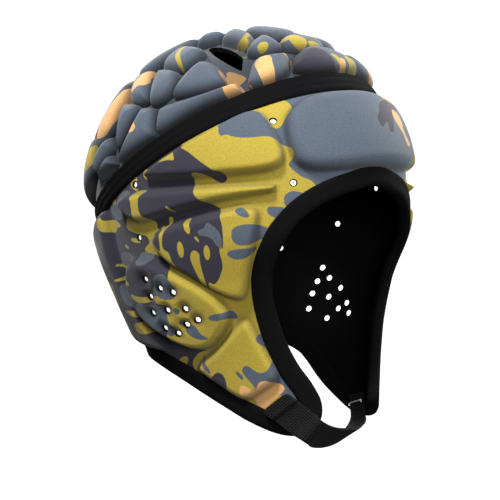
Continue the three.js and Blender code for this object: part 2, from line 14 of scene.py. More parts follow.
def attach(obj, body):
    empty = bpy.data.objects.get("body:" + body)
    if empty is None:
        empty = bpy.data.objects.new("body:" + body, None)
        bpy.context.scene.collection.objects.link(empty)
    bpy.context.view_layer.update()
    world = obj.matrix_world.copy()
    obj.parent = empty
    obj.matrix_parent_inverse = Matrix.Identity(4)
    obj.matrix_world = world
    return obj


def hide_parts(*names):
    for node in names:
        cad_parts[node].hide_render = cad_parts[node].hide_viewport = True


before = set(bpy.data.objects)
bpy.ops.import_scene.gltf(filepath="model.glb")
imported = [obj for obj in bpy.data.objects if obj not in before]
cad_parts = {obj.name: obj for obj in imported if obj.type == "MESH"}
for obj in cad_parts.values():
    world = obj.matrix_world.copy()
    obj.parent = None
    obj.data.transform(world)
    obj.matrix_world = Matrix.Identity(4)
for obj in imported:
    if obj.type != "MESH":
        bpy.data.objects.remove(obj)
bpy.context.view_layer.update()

print("solids in the frame:", len(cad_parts))

# %% [markdown]
# ## From arrays to meshes
# Every piece here is an array of points and an array of faces. One helper turns them into a mesh, because
# the units, the smooth shading, the UV map and the calls to the frame are then the same for all. Points
# are kept in millimetres from the middle of the head, where the formulas are simplest, and changed to
# metres at the very end.

# %% Mesh helpers
MM = 0.001
HEAD_MIDDLE = -89.0  # height of the head's widest level, below the inside of the crown


def add_piece(name, points, faces, material, nodes=(), spread=None, marks=None):
    """Makes a smooth mesh from points in millimetres. spread gives each point its place on the flat
    cloth, as UV, and marks gives each point a number under a name that a material can read."""
    mesh = bpy.data.meshes.new(name)
    mesh.from_pydata((points + [0, 0, HEAD_MIDDLE]) * MM, [], faces)
    mesh.polygons.foreach_set("use_smooth", np.ones(len(mesh.polygons), bool))
    if spread is not None:
        corners = np.empty(len(mesh.loops), int)
        mesh.loops.foreach_get("vertex_index", corners)
        mesh.uv_layers.new(name="spread").data.foreach_set("uv", (spread[corners] * MM).ravel())
    for mark, values in (marks or {}).items():
        mesh.attributes.new(mark, "FLOAT", "POINT").data.foreach_set("value", values)
    mesh.materials.append(material)
    piece = bpy.data.objects.new(name, mesh)
    bpy.context.scene.collection.objects.link(piece)
    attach(piece, "root")
    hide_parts(*nodes)
    return piece


def grid_faces(rows, columns, wrap=False):
    """Quads between neighbours of a grid: corner, next in its row, the one under that, and the one under
    the corner. With wrap the last column joins the first."""
    row = np.arange(rows - 1)[:, None] * columns
    column = np.arange(columns if wrap else columns - 1)[None, :]
    after = (column + 1) % columns
    corners = [row + column, row + after, row + columns + after, row + columns + column]
    return np.stack(corners, -1).reshape(-1, 4)


# %% [markdown]
# ## The head under the guard
# All layers follow one head form, so they share one formula. Above the widest level the form is an
# ellipsoid, and below it the outline at each level is an ellipse whose half width and reach come from a
# short table. A place is given by its bearing, in degrees round from the front, and its drop, in
# millimetres below the widest level.

# %% The head form
SECTIONS = np.array([  # drop, half width, reach to the front, reach to the back
    (0, 84, 97, 105), (30, 82, 96, 97), (60, 74, 82, 86), (90, 63, 75, 75), (120, 54, 73, 66),
    (160, 45, 72, 57),
], float)
CROWN_RISE = 89.0
MM_PER_DEGREE = 1.6  # of arc from the widest level to the top
CROWN_ARC = 90 * MM_PER_DEGREE


def section(column, drop):
    """A size of the form and its slope at a drop: a cubic through the table's rows, whose slope at a row
    is the harmonic mean of the slopes beside it."""
    level, size = SECTIONS[:, 0], SECTIONS[:, column]
    step = np.diff(level)
    rate = np.diff(size) / step
    slope = np.concatenate([[0], 2 / (1 / rate[:-1] + 1 / rate[1:]), rate[-1:]])
    i = np.clip(np.searchsorted(level, drop, side="right") - 1, 0, len(rate) - 1)
    t = (drop - level[i]) / step[i]
    bend = 3 * rate[i] - 2 * slope[i] - slope[i + 1]
    twist = slope[i] + slope[i + 1] - 2 * rate[i]
    value = size[i] + step[i] * t * (slope[i] + t * (bend + t * twist))
    return value, slope[i] + t * (2 * bend + 3 * t * twist)


def skin(bearing, drop, lift):
    """Points over the form. Across: minus half width times the sine of the latitude and of the bearing.
    Fore and aft: minus reach times the latitude's sine and the bearing's cosine. Then lift along the
    surface's normal."""
    bearing, drop, lift = np.broadcast_arrays(*[np.asarray(value, float) for value in (bearing, drop, lift)])
    turn = np.radians(bearing)
    below = np.maximum(drop, 0)
    half, half_slope = section(1, below)
    ahead = np.cos(turn) > 0
    front, back = section(2, below), section(3, below)
    reach = np.where(ahead, front[0], back[0])
    reach_slope = np.where(ahead, front[1], back[1])
    latitude = np.radians(90 + np.minimum(drop, 0) / MM_PER_DEGREE)
    x = -half * np.sin(latitude) * np.sin(turn)
    y = -reach * np.sin(latitude) * np.cos(turn)
    z = CROWN_RISE * np.cos(latitude) - below
    flare = x**2 * half_slope / half**3 + y**2 * reach_slope / reach**3
    normal = np.stack([x / half**2, y / reach**2, np.where(drop < 0, z / CROWN_RISE**2, flare)], -1)
    normal /= np.linalg.norm(normal, axis=-1, keepdims=True)
    return np.stack([x, y, z], -1) + normal * lift[..., None]


def crown_place(spot):
    """Bearing and drop of a spot of the crown, given as millimetres to the side and to the fore of its
    top."""
    side, fore = spot[..., 0], spot[..., 1]
    return np.degrees(np.arctan2(side, fore)), np.hypot(side, fore) - CROWN_ARC


def crown_skin(spot, lift):
    """Points over the crown at spots of its flat chart."""
    return skin(*crown_place(spot), lift)


def side_skin(spot, lift):
    """Points over the sides at spots of bearing and drop."""
    return skin(spot[..., 0], spot[..., 1], lift)


print("hollow, in mm:", 2 * SECTIONS[0, 1], "wide,", SECTIONS[0, 2] + SECTIONS[0, 3], "long")

# %% [markdown]
# ## Joint and edge
# The crown and the surround meet at a tilted ring under an elastic band, where a plane cuts the form. The
# lower edge runs from the brow, round the cheek to a pointed tab at the jaw, up under the ear and round
# to the nape. Few listed rows give it, because a smooth curve through them is easier to correct than
# many points.

# %% Rim and lower edge
RIM_TILT = np.radians(24)
RIM_PLANE = 21.5  # distance of the cutting plane from the middle of the head
EDGE = np.array([  # bearing, drop, bearing where the same column meets the rim
    (0, 5, 0), (12, 8.5, 9), (22, 13, 17), (30.5, 19.5, 24), (37, 27.5, 30), (42, 37.5, 35), (45, 50, 40),
    (46, 65, 45), (45.2, 82, 50), (43, 98, 55), (38.5, 113, 60), (32.5, 125, 65), (28.8, 136, 70),
    (31, 146, 75), (41, 152, 80), (53, 150, 86), (67, 141.5, 93), (80, 130.5, 101), (94, 119, 110),
    (109, 109, 121), (124, 101.5, 133), (138, 97.5, 145), (152, 95.5, 156), (166, 95, 168),
    (180, 95, 180),
], float)
TAB_TIP = 13
NAPE = len(EDGE) - 1
LEFT_RISE = np.zeros(NAPE + 1)  # mm by which the strap draws up the edge on the wearer's left
LEFT_RISE[12:17] = 4, 9, 10.5, 7.5, 2.5
LEFT_RISE[18:23] = 1.5, 10, 10.5, 7, 3
LEFT_BACK = np.zeros(NAPE + 1)  # degrees by which it draws the cheek's edge back there
LEFT_BACK[4:9] = 1.5, 3.5, 5, 4.5, 2


def rim_drop(bearing):
    """Drop of the joint at a bearing, where the tilted plane cuts the ellipsoid."""
    turn = np.radians(bearing)
    reach = np.where(np.cos(turn) > 0, SECTIONS[0, 2], SECTIONS[0, 3])
    up = CROWN_RISE * np.cos(RIM_TILT)
    ahead = -reach * np.cos(turn) * np.sin(RIM_TILT)
    latitude = np.arctan2(ahead, up) + np.arccos(RIM_PLANE / np.hypot(up, ahead))
    return MM_PER_DEGREE * (np.degrees(latitude) - 90)


def smooth_row(knots, place):
    """A smooth curve through a row of knots, from the second to the last but one. Between two knots it is
    the cubic whose slope at each is half the step between that knot's two neighbours."""
    i = np.clip(np.floor(place).astype(int), 0, len(knots) - 4)
    t = (place - i)[..., None]
    before, here, there, after = knots[i], knots[i + 1], knots[i + 2], knots[i + 3]
    leave, arrive = (there - before) / 2, (after - here) / 2
    step = there - here
    return here + t * (leave + t * (3 * step - 2 * leave - arrive + t * (leave + arrive - 2 * step)))


def edge_at(station):
    """Bearing, drop and rim bearing of the lower edge, at a station from 0 at the brow to the nape.
    Stations below 0 give the wearer's left."""
    knots = np.vstack([EDGE[1] * [-1, 1, -1], EDGE, [360, 0, 360] + EDGE[-2] * [-1, 1, -1]])
    left = np.stack([LEFT_BACK, -LEFT_RISE, 0 * LEFT_RISE], 1)
    drawn = np.vstack([left[1], left, left[-2]])
    side = np.where(station < 0, -1.0, 1.0)
    spot = smooth_row(knots, np.abs(station)) + smooth_row(drawn, np.abs(station)) * (station < 0)[..., None]
    return spot[..., 0] * side, spot[..., 1], spot[..., 2] * side


print("rim drop at the front and back, in mm:", rim_drop(np.array([0, 180])).round(1))

# %% [markdown]
# ## Outlines of pads
# A pad or a vent is a four-cornered patch of cloth whose sides bow in or out. Mixing the four corners
# gives a flat patch, and each bow is added most at the middle of its side. Distances to the outline are
# then measured over the rounded form, so a pad has the same edge all round.

# %% Patches and distances
BATCH = 4000  # points measured at once, to spare memory


def patch(corners, bows, s, t):
    """Spots of a patch for s and t from -1 to 1: the corners a, b, c and d, each weighted by its
    closeness in s and t, plus each side's bow, weighted by 1 minus the square of the way along that
    side."""
    a, b, c, d = corners = np.asarray(corners, float)
    s, t = np.asarray(s)[..., None], np.asarray(t)[..., None]
    spot = (a * (1 - s) * (1 - t) + b * (1 + s) * (1 - t)
            + c * (1 + s) * (1 + t) + d * (1 - s) * (1 + t)) / 4
    along = np.roll(corners, -1, 0) - corners
    out = along[:, ::-1] * [1, -1]
    out /= np.linalg.norm(out, axis=1, keepdims=True)
    middle = (np.roll(corners, -1, 0) + corners) / 2 - corners.mean(0)
    out *= (np.sign((out * middle).sum(1)) * bows)[:, None]
    across = (1 - s * s) * ((1 - t) * out[0] + (1 + t) * out[2]) / 2
    return spot + across + (1 - t * t) * ((1 + s) * out[1] + (1 - s) * out[3]) / 2


def rounded_square(sides, squareness):
    """s and t round a square with rounded corners: the square's even steps, divided by their own norm of
    the power squareness."""
    way = 8 * np.arange(sides) / sides
    along = way % 2 - 1
    one = np.ones(sides)
    side = (way // 2).astype(int)
    s = np.choose(side, [along, one, -along, -one])
    t = np.choose(side, [-one, along, one, -along])
    draw = (np.abs(s)**squareness + np.abs(t)**squareness)**(-1 / squareness)
    return s * draw, t * draw


def inside(spots, outline):
    """True where a spot lies in a closed outline: a ray from it crosses the outline an odd number of
    times."""
    x, y = spots[:, :1], spots[:, 1:]
    ax, ay = outline.T
    bx, by = np.roll(outline, -1, 0).T
    level = np.where(by == ay, 1e-9, by - ay)
    crossed = ((ay > y) != (by > y)) & (x < ax + (y - ay) * (bx - ax) / level)
    return crossed.sum(1) % 2 == 1


def distance(points, outline):
    """Least distance from each point to the sides of a closed outline, in two or three dimensions: the
    way to the nearest point of each side, which is held between that side's ends."""
    along = np.roll(outline, -1, 0) - outline
    length = np.maximum((along**2).sum(1), 1e-12)
    least = np.empty(len(points))
    for first in range(0, len(points), BATCH):
        off = points[first:first + BATCH, None] - outline
        share = np.clip((off * along).sum(2) / length, 0, 1)
        least[first:first + BATCH] = np.sqrt(((off - share[..., None] * along)**2).sum(2).min(1))
    return least


def nearby(spots, outline, margin):
    """Numbers of the spots within a margin of an outline's own box."""
    low, high = outline.min(0) - margin, outline.max(0) + margin
    return np.flatnonzero(((spots > low) & (spots < high)).all(1))


# %% [markdown]
# ## Cloth and its threads
# Cloth is matt, and its threads catch the light. The threads could be modelled, but they are far finer
# than any mesh here. So they are waves in the shading alone: a wave texture on the piece's own UV map,
# which is the cloth laid flat, drives a bump.

# %% Cloth helpers
WAVE_PERIOD = np.pi / 10  # of Blender's wave texture at a scale of 1


def new_material(name, colour, roughness, sheen=0.0, specular=0.3):
    """A material with one principled shader and its plain values."""
    material = bpy.data.materials.new(name)
    material.use_nodes = True
    shader = material.node_tree.nodes["Principled BSDF"]
    shader.inputs["Base Color"].default_value = (*colour, 1)
    shader.inputs["Roughness"].default_value = roughness
    shader.inputs["Specular IOR Level"].default_value = specular
    shader.inputs["Sheen Weight"].default_value = sheen
    return material, shader


def add_node(material, kind, **values):
    """A node of a kind, with its settings."""
    node = material.node_tree.nodes.new("ShaderNode" + kind)
    for name, value in values.items():
        setattr(node, name, value)
    return node


def add_weave(material, shader, pitch, depth, bands):
    """Raises threads: waves across the cloth's UV map, one for each of the named directions, through a
    bump."""
    link = material.node_tree.links.new
    spread = add_node(material, "UVMap", uv_map="spread")
    height = None
    for direction in bands:
        wave = add_node(material, "TexWave", bands_direction=direction)
        wave.inputs["Scale"].default_value = WAVE_PERIOD / (pitch * MM)
        link(spread.outputs["UV"], wave.inputs["Vector"])
        if height is None:
            height = wave.outputs["Fac"]
        else:
            both = add_node(material, "Math", operation="MULTIPLY")
            link(height, both.inputs[0])
            link(wave.outputs["Fac"], both.inputs[1])
            height = both.outputs[0]
    bump = add_node(material, "Bump")
    bump.inputs["Distance"].default_value = depth * MM
    link(height, bump.inputs["Height"])
    link(bump.outputs["Normal"], shader.inputs["Normal"])


# %% [markdown]
# ## The printed jersey
# A fine knit covers the foam, printed in four colours with hard borders. An image would fix the scale and
# need a file. Here each point carries its distance to the border of each colour instead, and the material
# changes colour where that distance crosses zero, so the border stays sharp at any size.

# %% Jersey material
PRINT = {  # colours in linear light
    "mustard": (0.36, 0.275, 0.032), "slate": (0.07, 0.09, 0.119), "dark": (0.027, 0.025, 0.039),
    "peach": (0.62, 0.345, 0.135),
}
BORDER = 0.22  # half of a border's soft width, in mm
KNIT_PITCH = 0.8  # mm from wale to wale
KNIT_DEPTH = 0.05  # mm
PAINTED_SHADE_TONE = 0.25  # share of the colour left where the painted shade is deepest
GRAIN_SIZE = 0.7  # mm
GRAIN_TONES = (0.79, 1.17)  # shares of the colour in its darkest and lightest yarns
NOISE_RANGE = (0.25, 0.75)  # between which most of a noise texture lies


def make_jersey():
    """Mustard, covered in turn by slate, dark and peach wherever that colour's mark is above zero. All of
    it is darkened by painted shade where the mark called fold nears zero, and it is grainy like a knit of
    mixed yarn."""
    material, shader = new_material("printed_jersey", PRINT["mustard"], 0.75, sheen=0.15, specular=0.2)
    link = material.node_tree.links.new
    below = None
    for name in ("slate", "dark", "peach"):
        mark = add_node(material, "Attribute", attribute_name=name)
        border = add_node(material, "MapRange", interpolation_type="SMOOTHSTEP")
        border.inputs["From Min"].default_value = -BORDER
        border.inputs["From Max"].default_value = BORDER
        link(mark.outputs["Fac"], border.inputs["Value"])
        mix = add_node(material, "Mix", data_type="RGBA")
        mix.inputs[6].default_value = (*PRINT["mustard"], 1)
        mix.inputs[7].default_value = (*PRINT[name], 1)
        link(border.outputs["Result"], mix.inputs[0])
        if below is not None:
            link(below, mix.inputs[6])
        below = mix.outputs[2]
    # painted shade: the fold mark, low in the creases and 1 away from them, scales the colour
    fold = add_node(material, "MapRange")
    fold.inputs["To Min"].default_value = PAINTED_SHADE_TONE
    link(add_node(material, "Attribute", attribute_name="fold").outputs["Fac"], fold.inputs["Value"])
    grain = add_node(material, "TexNoise")
    grain.inputs["Scale"].default_value = 1 / (GRAIN_SIZE * MM)
    grain.inputs["Detail"].default_value = 1
    link(add_node(material, "TexCoord").outputs["Object"], grain.inputs["Vector"])
    tone = add_node(material, "MapRange")
    tone.inputs["From Min"].default_value, tone.inputs["From Max"].default_value = NOISE_RANGE
    tone.inputs["To Min"].default_value, tone.inputs["To Max"].default_value = GRAIN_TONES
    link(grain.outputs["Fac"], tone.inputs["Value"])
    both = add_node(material, "Math", operation="MULTIPLY")
    link(fold.outputs["Result"], both.inputs[0])
    link(tone.outputs["Result"], both.inputs[1])
    shade = add_node(material, "Mix", data_type="RGBA", blend_type="MULTIPLY")
    shade.inputs[0].default_value = 1
    link(below, shade.inputs[6])
    link(both.outputs[0], shade.inputs[7])
    link(shade.outputs[2], shader.inputs["Base Color"])
    add_weave(material, shader, pitch=KNIT_PITCH, depth=KNIT_DEPTH, bands=("X", "Y"))
    return material


jersey = make_jersey()
print("print colours:", ", ".join(PRINT))

# %% [markdown]
# ## Drawing the print
# The print is drawn as rounded shapes on the flat charts: bearing and drop for the surround, side
# and fore for the crown. Later shapes lie over earlier ones. Each shape's signed distance, above zero
# inside it, replaces its own colour's mark where it is larger, and caps the marks of the other colours.

# %% Print helpers
FAR = 6.0  # mm, where a distance to a border stops mattering


def rounded_outline(corners, steps=5):
    """A smooth closed curve through the corners, by the same cubic as the lower edge."""
    knots = np.asarray(corners, float)
    around = np.vstack([knots[-1:], knots, knots[:2]])
    return smooth_row(around, np.arange(len(knots) * steps) / steps)


def oval(x, y, wide, tall):
    """Eight corners of an oval round a spot."""
    turn = np.arange(8) * np.pi / 4
    return np.stack([x + wide * np.cos(turn), y + tall * np.sin(turn)], -1)


def paint(marks, spots, shapes, scale):
    """Draws shapes, each a colour and its corners, into the marks. scale turns a shape's chart into
    mm."""
    for colour, corners in shapes:
        outline = rounded_outline(corners)
        size = np.array([scale(outline[:, 1].mean()), 1.0])
        near = nearby(spots * size, outline * size, FAR)
        flat = spots[near] * size
        depth = np.minimum(distance(flat, outline * size), FAR)
        depth[~inside(flat, outline * size)] *= -1
        for name, values in marks.items():
            if name == colour:
                values[near] = np.maximum(values[near], depth)
            else:
                values[near] = np.minimum(values[near], -depth)
    return marks


def blank_print(count, base):
    """Marks for a cloth that has the base colour all over."""
    return {name: np.full(count, FAR if name == base else -FAR) for name in ("slate", "dark", "peach")}


# %% [markdown]
# ## The print of the sides
# On the real cloth the pattern runs on over pads and grooves. Noise with a threshold could give such a
# pattern, but no shape would then lie where the photograph shows it. So the shapes are listed one by one,
# with the few corners that each needs, and both sides share one list.

# %% Print of the sides
SIDE_PRINT = [  # colour, then corners as bearing and drop, the same on both sides
    # the first dark shape also fills the groove between the temple rib and the cheek pad, where it is print
    # and painted shade together
    ("dark", [
        (80, -26), (75.3, -20.8), (72.3, -17.8), (69, -13.3), (65.3, -8.5), (63.5, -6.3), (61, -5.3),
        (59.8, -2.5), (60.3, 0), (62, 0.8), (64, -0.8), (66, -3.3), (68.5, -5.3), (71.8, -5.6),
        (72.2, 0.8), (71.8, 3), (71, 6.7), (69.3, 10), (67.5, 11.5), (65, 14), (63.2, 17), (70, 21),
        (84, 25), (90.5, 24), (91, 20), (99, 20), (103.3, 12.5), (107, 17.5), (107, 22), (101, 26),
        (97, 27.5), (95.8, 31.5), (99.2, 35.5), (94, 38.6), (90, 42.2), (87, 46.7), (86.2, 52),
        (85, 57.3), (84.2, 61), (87, 64), (90.4, 64.4), (93.4, 63), (96.5, 61.5), (97.5, 64),
        (94.5, 66.5), (91, 68), (92, 69.5), (93.3, 72.5), (92.5, 78.5), (91, 81.5), (92.5, 84),
        (95, 84.5), (97.4, 85.2), (96.2, 90), (93.3, 94.7), (89.4, 97), (81, 98), (87, 100),
        (92.4, 105.5), (92, 113), (95, 125), (182, 125), (182, -60), (110, -40)]),
    ("dark", [
        (92.3, 28), (91.2, 26), (88.5, 24.3), (84, 22.5), (76, 20.5), (70, 19), (63.3, 17), (62.5, 21),
        (62, 27), (62.4, 37), (63.8, 38.5), (63, 46), (63.6, 50.5), (65.3, 55.5), (67.3, 57.7),
        (69, 56.3), (69.7, 60.5), (71.5, 59.5), (76.5, 54), (79, 50.5), (81.5, 47), (83, 43),
        (86.5, 38.5), (89.5, 33.5)]),
    ("slate", [
        (61.3, -30), (58, -25.7), (54, -23.5), (49.5, -22.9), (44.5, -23), (41.5, -21.5), (39, -19.5),
        (36, -17), (35, -13), (35.6, -10), (37, -7.6), (36, -4.6), (32.7, 0.2), (29, 3), (26.6, 6.6),
        (22, 10), (0, 14), (-22, 10), (-29, 3), (-36, -4.6), (-35, -13), (-41.5, -21.5), (-49.5, -22.9),
        (-61.3, -30), (-60, -75), (0, -90), (60, -75)]),
    ("mustard", [
        (50, -45), (44, -48), (40, -50), (36.5, -50), (33.4, -47), (32.5, -43.5), (33.3, -40.5),
        (35.8, -35.9), (37.9, -31.8), (39.4, -30), (41.5, -30.2), (43.2, -33), (45.2, -37), (47.7, -41)]),
    ("slate", [
        (32.5, 10.3), (35, 9), (36.9, 8.8), (39.2, 10.8), (39.7, 13.5), (39.3, 17), (36, 18), (33, 13)]),
    ("slate", [(46.2, 18), (45, 17), (42, 17.5), (40, 18.5), (42, 24), (44.5, 23), (46, 21)]),
    ("slate", [
        (57.3, 17.5), (56.2, 16.4), (54.4, 16.7), (52.7, 19.2), (52.2, 21.8), (53.8, 22), (56, 20.3)]),
    ("slate", [
        (59, 31), (58.5, 28.5), (56, 26.5), (52, 26.3), (48.5, 28), (46.5, 30), (47.5, 34), (50.5, 36),
        (54.5, 36.8), (57.5, 36), (59, 33.5)]),
    ("slate", [
        (61.1, 40.3), (59, 38.8), (54.5, 38.4), (51, 39.3), (51.2, 41.3), (54.5, 43.5), (57.5, 44),
        (60, 42.6)]),
    ("slate", [
        (71, 27.7), (68.7, 26.5), (67.3, 23.5), (65, 26), (63, 31), (63, 37), (64.7, 35.7), (65.8, 32.8),
        (68, 30.8), (70.3, 30)]),
    ("slate", [
        (72.5, 76.3), (69.5, 74.8), (64.5, 75.2), (62.3, 77.5), (61.5, 80.5), (63.5, 80.8), (66, 78.8),
        (69.7, 79), (72, 78)]),
    ("slate", [
        (81.5, 80.2), (79.5, 82.5), (78, 86.5), (75, 89.2), (78, 90), (82.3, 88), (85.3, 84.5),
        (85.8, 82.5), (83.5, 80.5)]),
    ("slate", [(88, 78), (85.5, 76.8), (84, 78.5), (85, 80), (87, 80)]),
    ("slate", [(88.3, 69.5), (86.5, 69.5), (85.7, 71.5), (86.8, 73), (88.3, 72)]),
    ("slate", [(102, 37), (97, 37.5), (94.5, 39.5), (97, 42.5), (101, 42)]),
    ("slate", [
        (93, 50), (89, 49), (86.5, 52.5), (85.3, 57.5), (84.5, 61), (87, 63.7), (90.5, 64), (93.5, 62.5),
        (96, 60), (95, 55)]),
    ("slate", [
        (108, 64), (103, 66), (99, 66.5), (94.5, 67.5), (92.3, 70), (93.5, 73), (93, 78), (95, 80),
        (101, 82), (108, 80), (112, 72)]),
    ("slate", [(96, 81), (93.5, 80.5), (92, 83.5), (94, 86), (97, 84.5)]),
    ("slate", [(117, 36), (110, 36), (107, 40), (108, 45), (113, 47), (118, 43)]),
    ("slate", [(121, 53), (115, 54.5), (112, 60), (112, 66), (116, 67), (121, 63)]),
    ("slate", [(116, 6), (109, 6), (106.5, 10), (108, 14), (112, 15.5), (116, 12)]),
    ("slate", [(110.5, 2.5), (107, -0.5), (103.5, -0.5), (101.5, 2), (104, 4.5), (106.5, 8.5), (110, 7)]),
    ("slate", [
        (54.6, 92.8), (53.5, 91.3), (50.5, 92.2), (49.3, 94.5), (47.3, 100), (46.7, 103), (49.3, 102.5),
        (52.3, 98.3), (54.3, 95.3)]),
    ("slate", [
        (63.3, 110), (61.8, 108.7), (60, 109.3), (58, 112), (55.2, 113.9), (52.4, 113), (50.4, 110.2),
        (49, 107.7), (47.5, 107), (45, 108.5), (40, 122), (35, 133), (33, 140), (36, 143), (42, 138),
        (48, 130), (55, 127), (58.7, 123.6), (60.5, 119.8), (62.9, 114.7), (63.7, 111.8)]),
    ("slate", [(66.9, 111.5), (65.6, 112), (64, 114.8), (64.2, 117), (65.6, 116), (66.8, 113.5)]),
    ("slate", [
        (84.3, 100.8), (83, 102.5), (81, 106.5), (79.8, 110.3), (80.5, 111.5), (82.5, 109), (84, 105)]),
    ("dark", [
        (78.5, 112.5), (76.2, 111.2), (74, 112.5), (73, 116), (73.3, 121), (75.8, 124.5), (79, 122),
        (81, 118.4), (80.5, 115)]),
    ("mustard", [
        (95.5, 0.3), (92.6, 1), (94.3, 4.5), (94.8, 11), (93.8, 15.5), (91, 19.5), (91, 24), (97, 27),
        (102, 24), (106, 20.5), (106.5, 17.5), (103.4, 12.2), (101, 16), (98.8, 19.5), (98.4, 7), (99, 4),
        (98, 1.2)]),
    ("mustard", [
        (101.5, -6.5), (99, -8.5), (98.3, -6), (100, -3.5), (99, -1.5), (97.3, -0.3), (98, 0.4),
        (100.7, -1.5), (101.7, -4)]),
    ("mustard", [(86.3, -14.3), (79.5, -19), (78.3, -17.5), (77.9, -14.2), (80.5, -14.5)]),
    ("mustard", [(94.8, -11.5), (93, -12), (92.5, -9.5), (92.5, -7), (93, -5.8), (95, -8)]),
    ("mustard", [(83, 11.5), (82, 11.5), (80.3, 15.3), (81, 15.6)]),
    ("mustard", [(84.5, 18.5), (83, 18), (82.8, 21), (84.3, 23)]),
    ("mustard", [(88.5, 23.5), (87, 23), (86.5, 24.5), (88, 25)]),
    ("mustard", [
        (77, 21), (74.5, 20), (74.2, 22.5), (73.8, 27), (74.4, 28.8), (75.5, 27.6), (76.2, 24.5)]),
    ("mustard", [(72.7, 30.7), (71.7, 30.8), (70.8, 33.5), (71.5, 33.4)]),
    ("mustard", oval(78.6, 36.6, 1.3, 4.4)),
    ("mustard", oval(68.5, 39.3, 1.2, 4)),
    ("mustard", [
        (75, 40), (74.2, 38), (72.8, 37.8), (71.5, 39.6), (71.6, 43), (71.4, 47), (70.8, 53.5),
        (70.4, 59.5), (72, 59), (73, 53.3), (74.3, 47.3), (75.2, 42.5)]),
    ("mustard", [
        (87, 24.6), (84.5, 23), (85.2, 28), (86, 33.5), (85.5, 35.8), (83.9, 37.4), (83.3, 41),
        (83.5, 46), (88, 41), (87.5, 38), (87, 33), (87, 28)]),
    ("mustard", [
        (110.5, 58.6), (107, 60.2), (102, 61.5), (98.6, 62), (98, 64), (103, 64.5), (108, 63.3),
        (110.5, 61)]),
    ("mustard", [
        (123.5, 15.5), (121, 12), (119.5, 14.5), (114.5, 15.5), (111.5, 19.3), (115, 20.5), (117, 22.8),
        (121, 20.5), (123.5, 17.5)]),
    ("mustard", oval(113.5, 4, 1.4, 2)),
    ("mustard", [(106.6, 28), (103, 28), (100.5, 30.8), (103.5, 30.8), (105.8, 29.5)]),
    ("mustard", [(112, 31), (110, 31.5), (109, 33.5), (111, 33)]),
    ("mustard", [(121, 40.5), (117, 42.5), (109.5, 44), (110, 45), (116, 44.5), (120, 42.5)]),
    ("mustard", [(124, 48.8), (117, 48.8), (110.5, 49.5), (109.3, 53.2), (114, 52), (121, 50.3)]),
    ("mustard", [(125, 67.3), (118, 68.5), (112, 71.7), (108, 75), (113, 74), (119, 71.5), (124, 69.5)]),
    ("mustard", [
        (120, 76), (113, 76.3), (108.5, 79.3), (106.4, 82.7), (109, 83.3), (120, 82.2), (122, 79)]),
    ("mustard", [
        (102.3, 103.5), (99, 101.5), (95, 101.3), (95, 103.5), (97.5, 106.5), (100, 107), (102, 105.5)]),
    ("peach", [
        (67.3, 123.5), (66.2, 121), (63.9, 120.8), (61.6, 123.5), (59.6, 124.3), (58.2, 122.2),
        (56.8, 119.8), (53.9, 118.9), (51, 120.6), (48.2, 122), (46.3, 123.5), (46, 126), (50, 130),
        (57, 136), (59, 140), (61.3, 139.5), (61.5, 135), (62, 130.5), (64.4, 128), (67, 127)]),
]
print("shapes on each side:", len(SIDE_PRINT))

# %% [markdown]
# ## The print of the brow and the back
# The brow and the back are not alike on both sides, so their shapes are listed once each. The back is out
# of sight in the photograph and is a guess in the same style and scale.

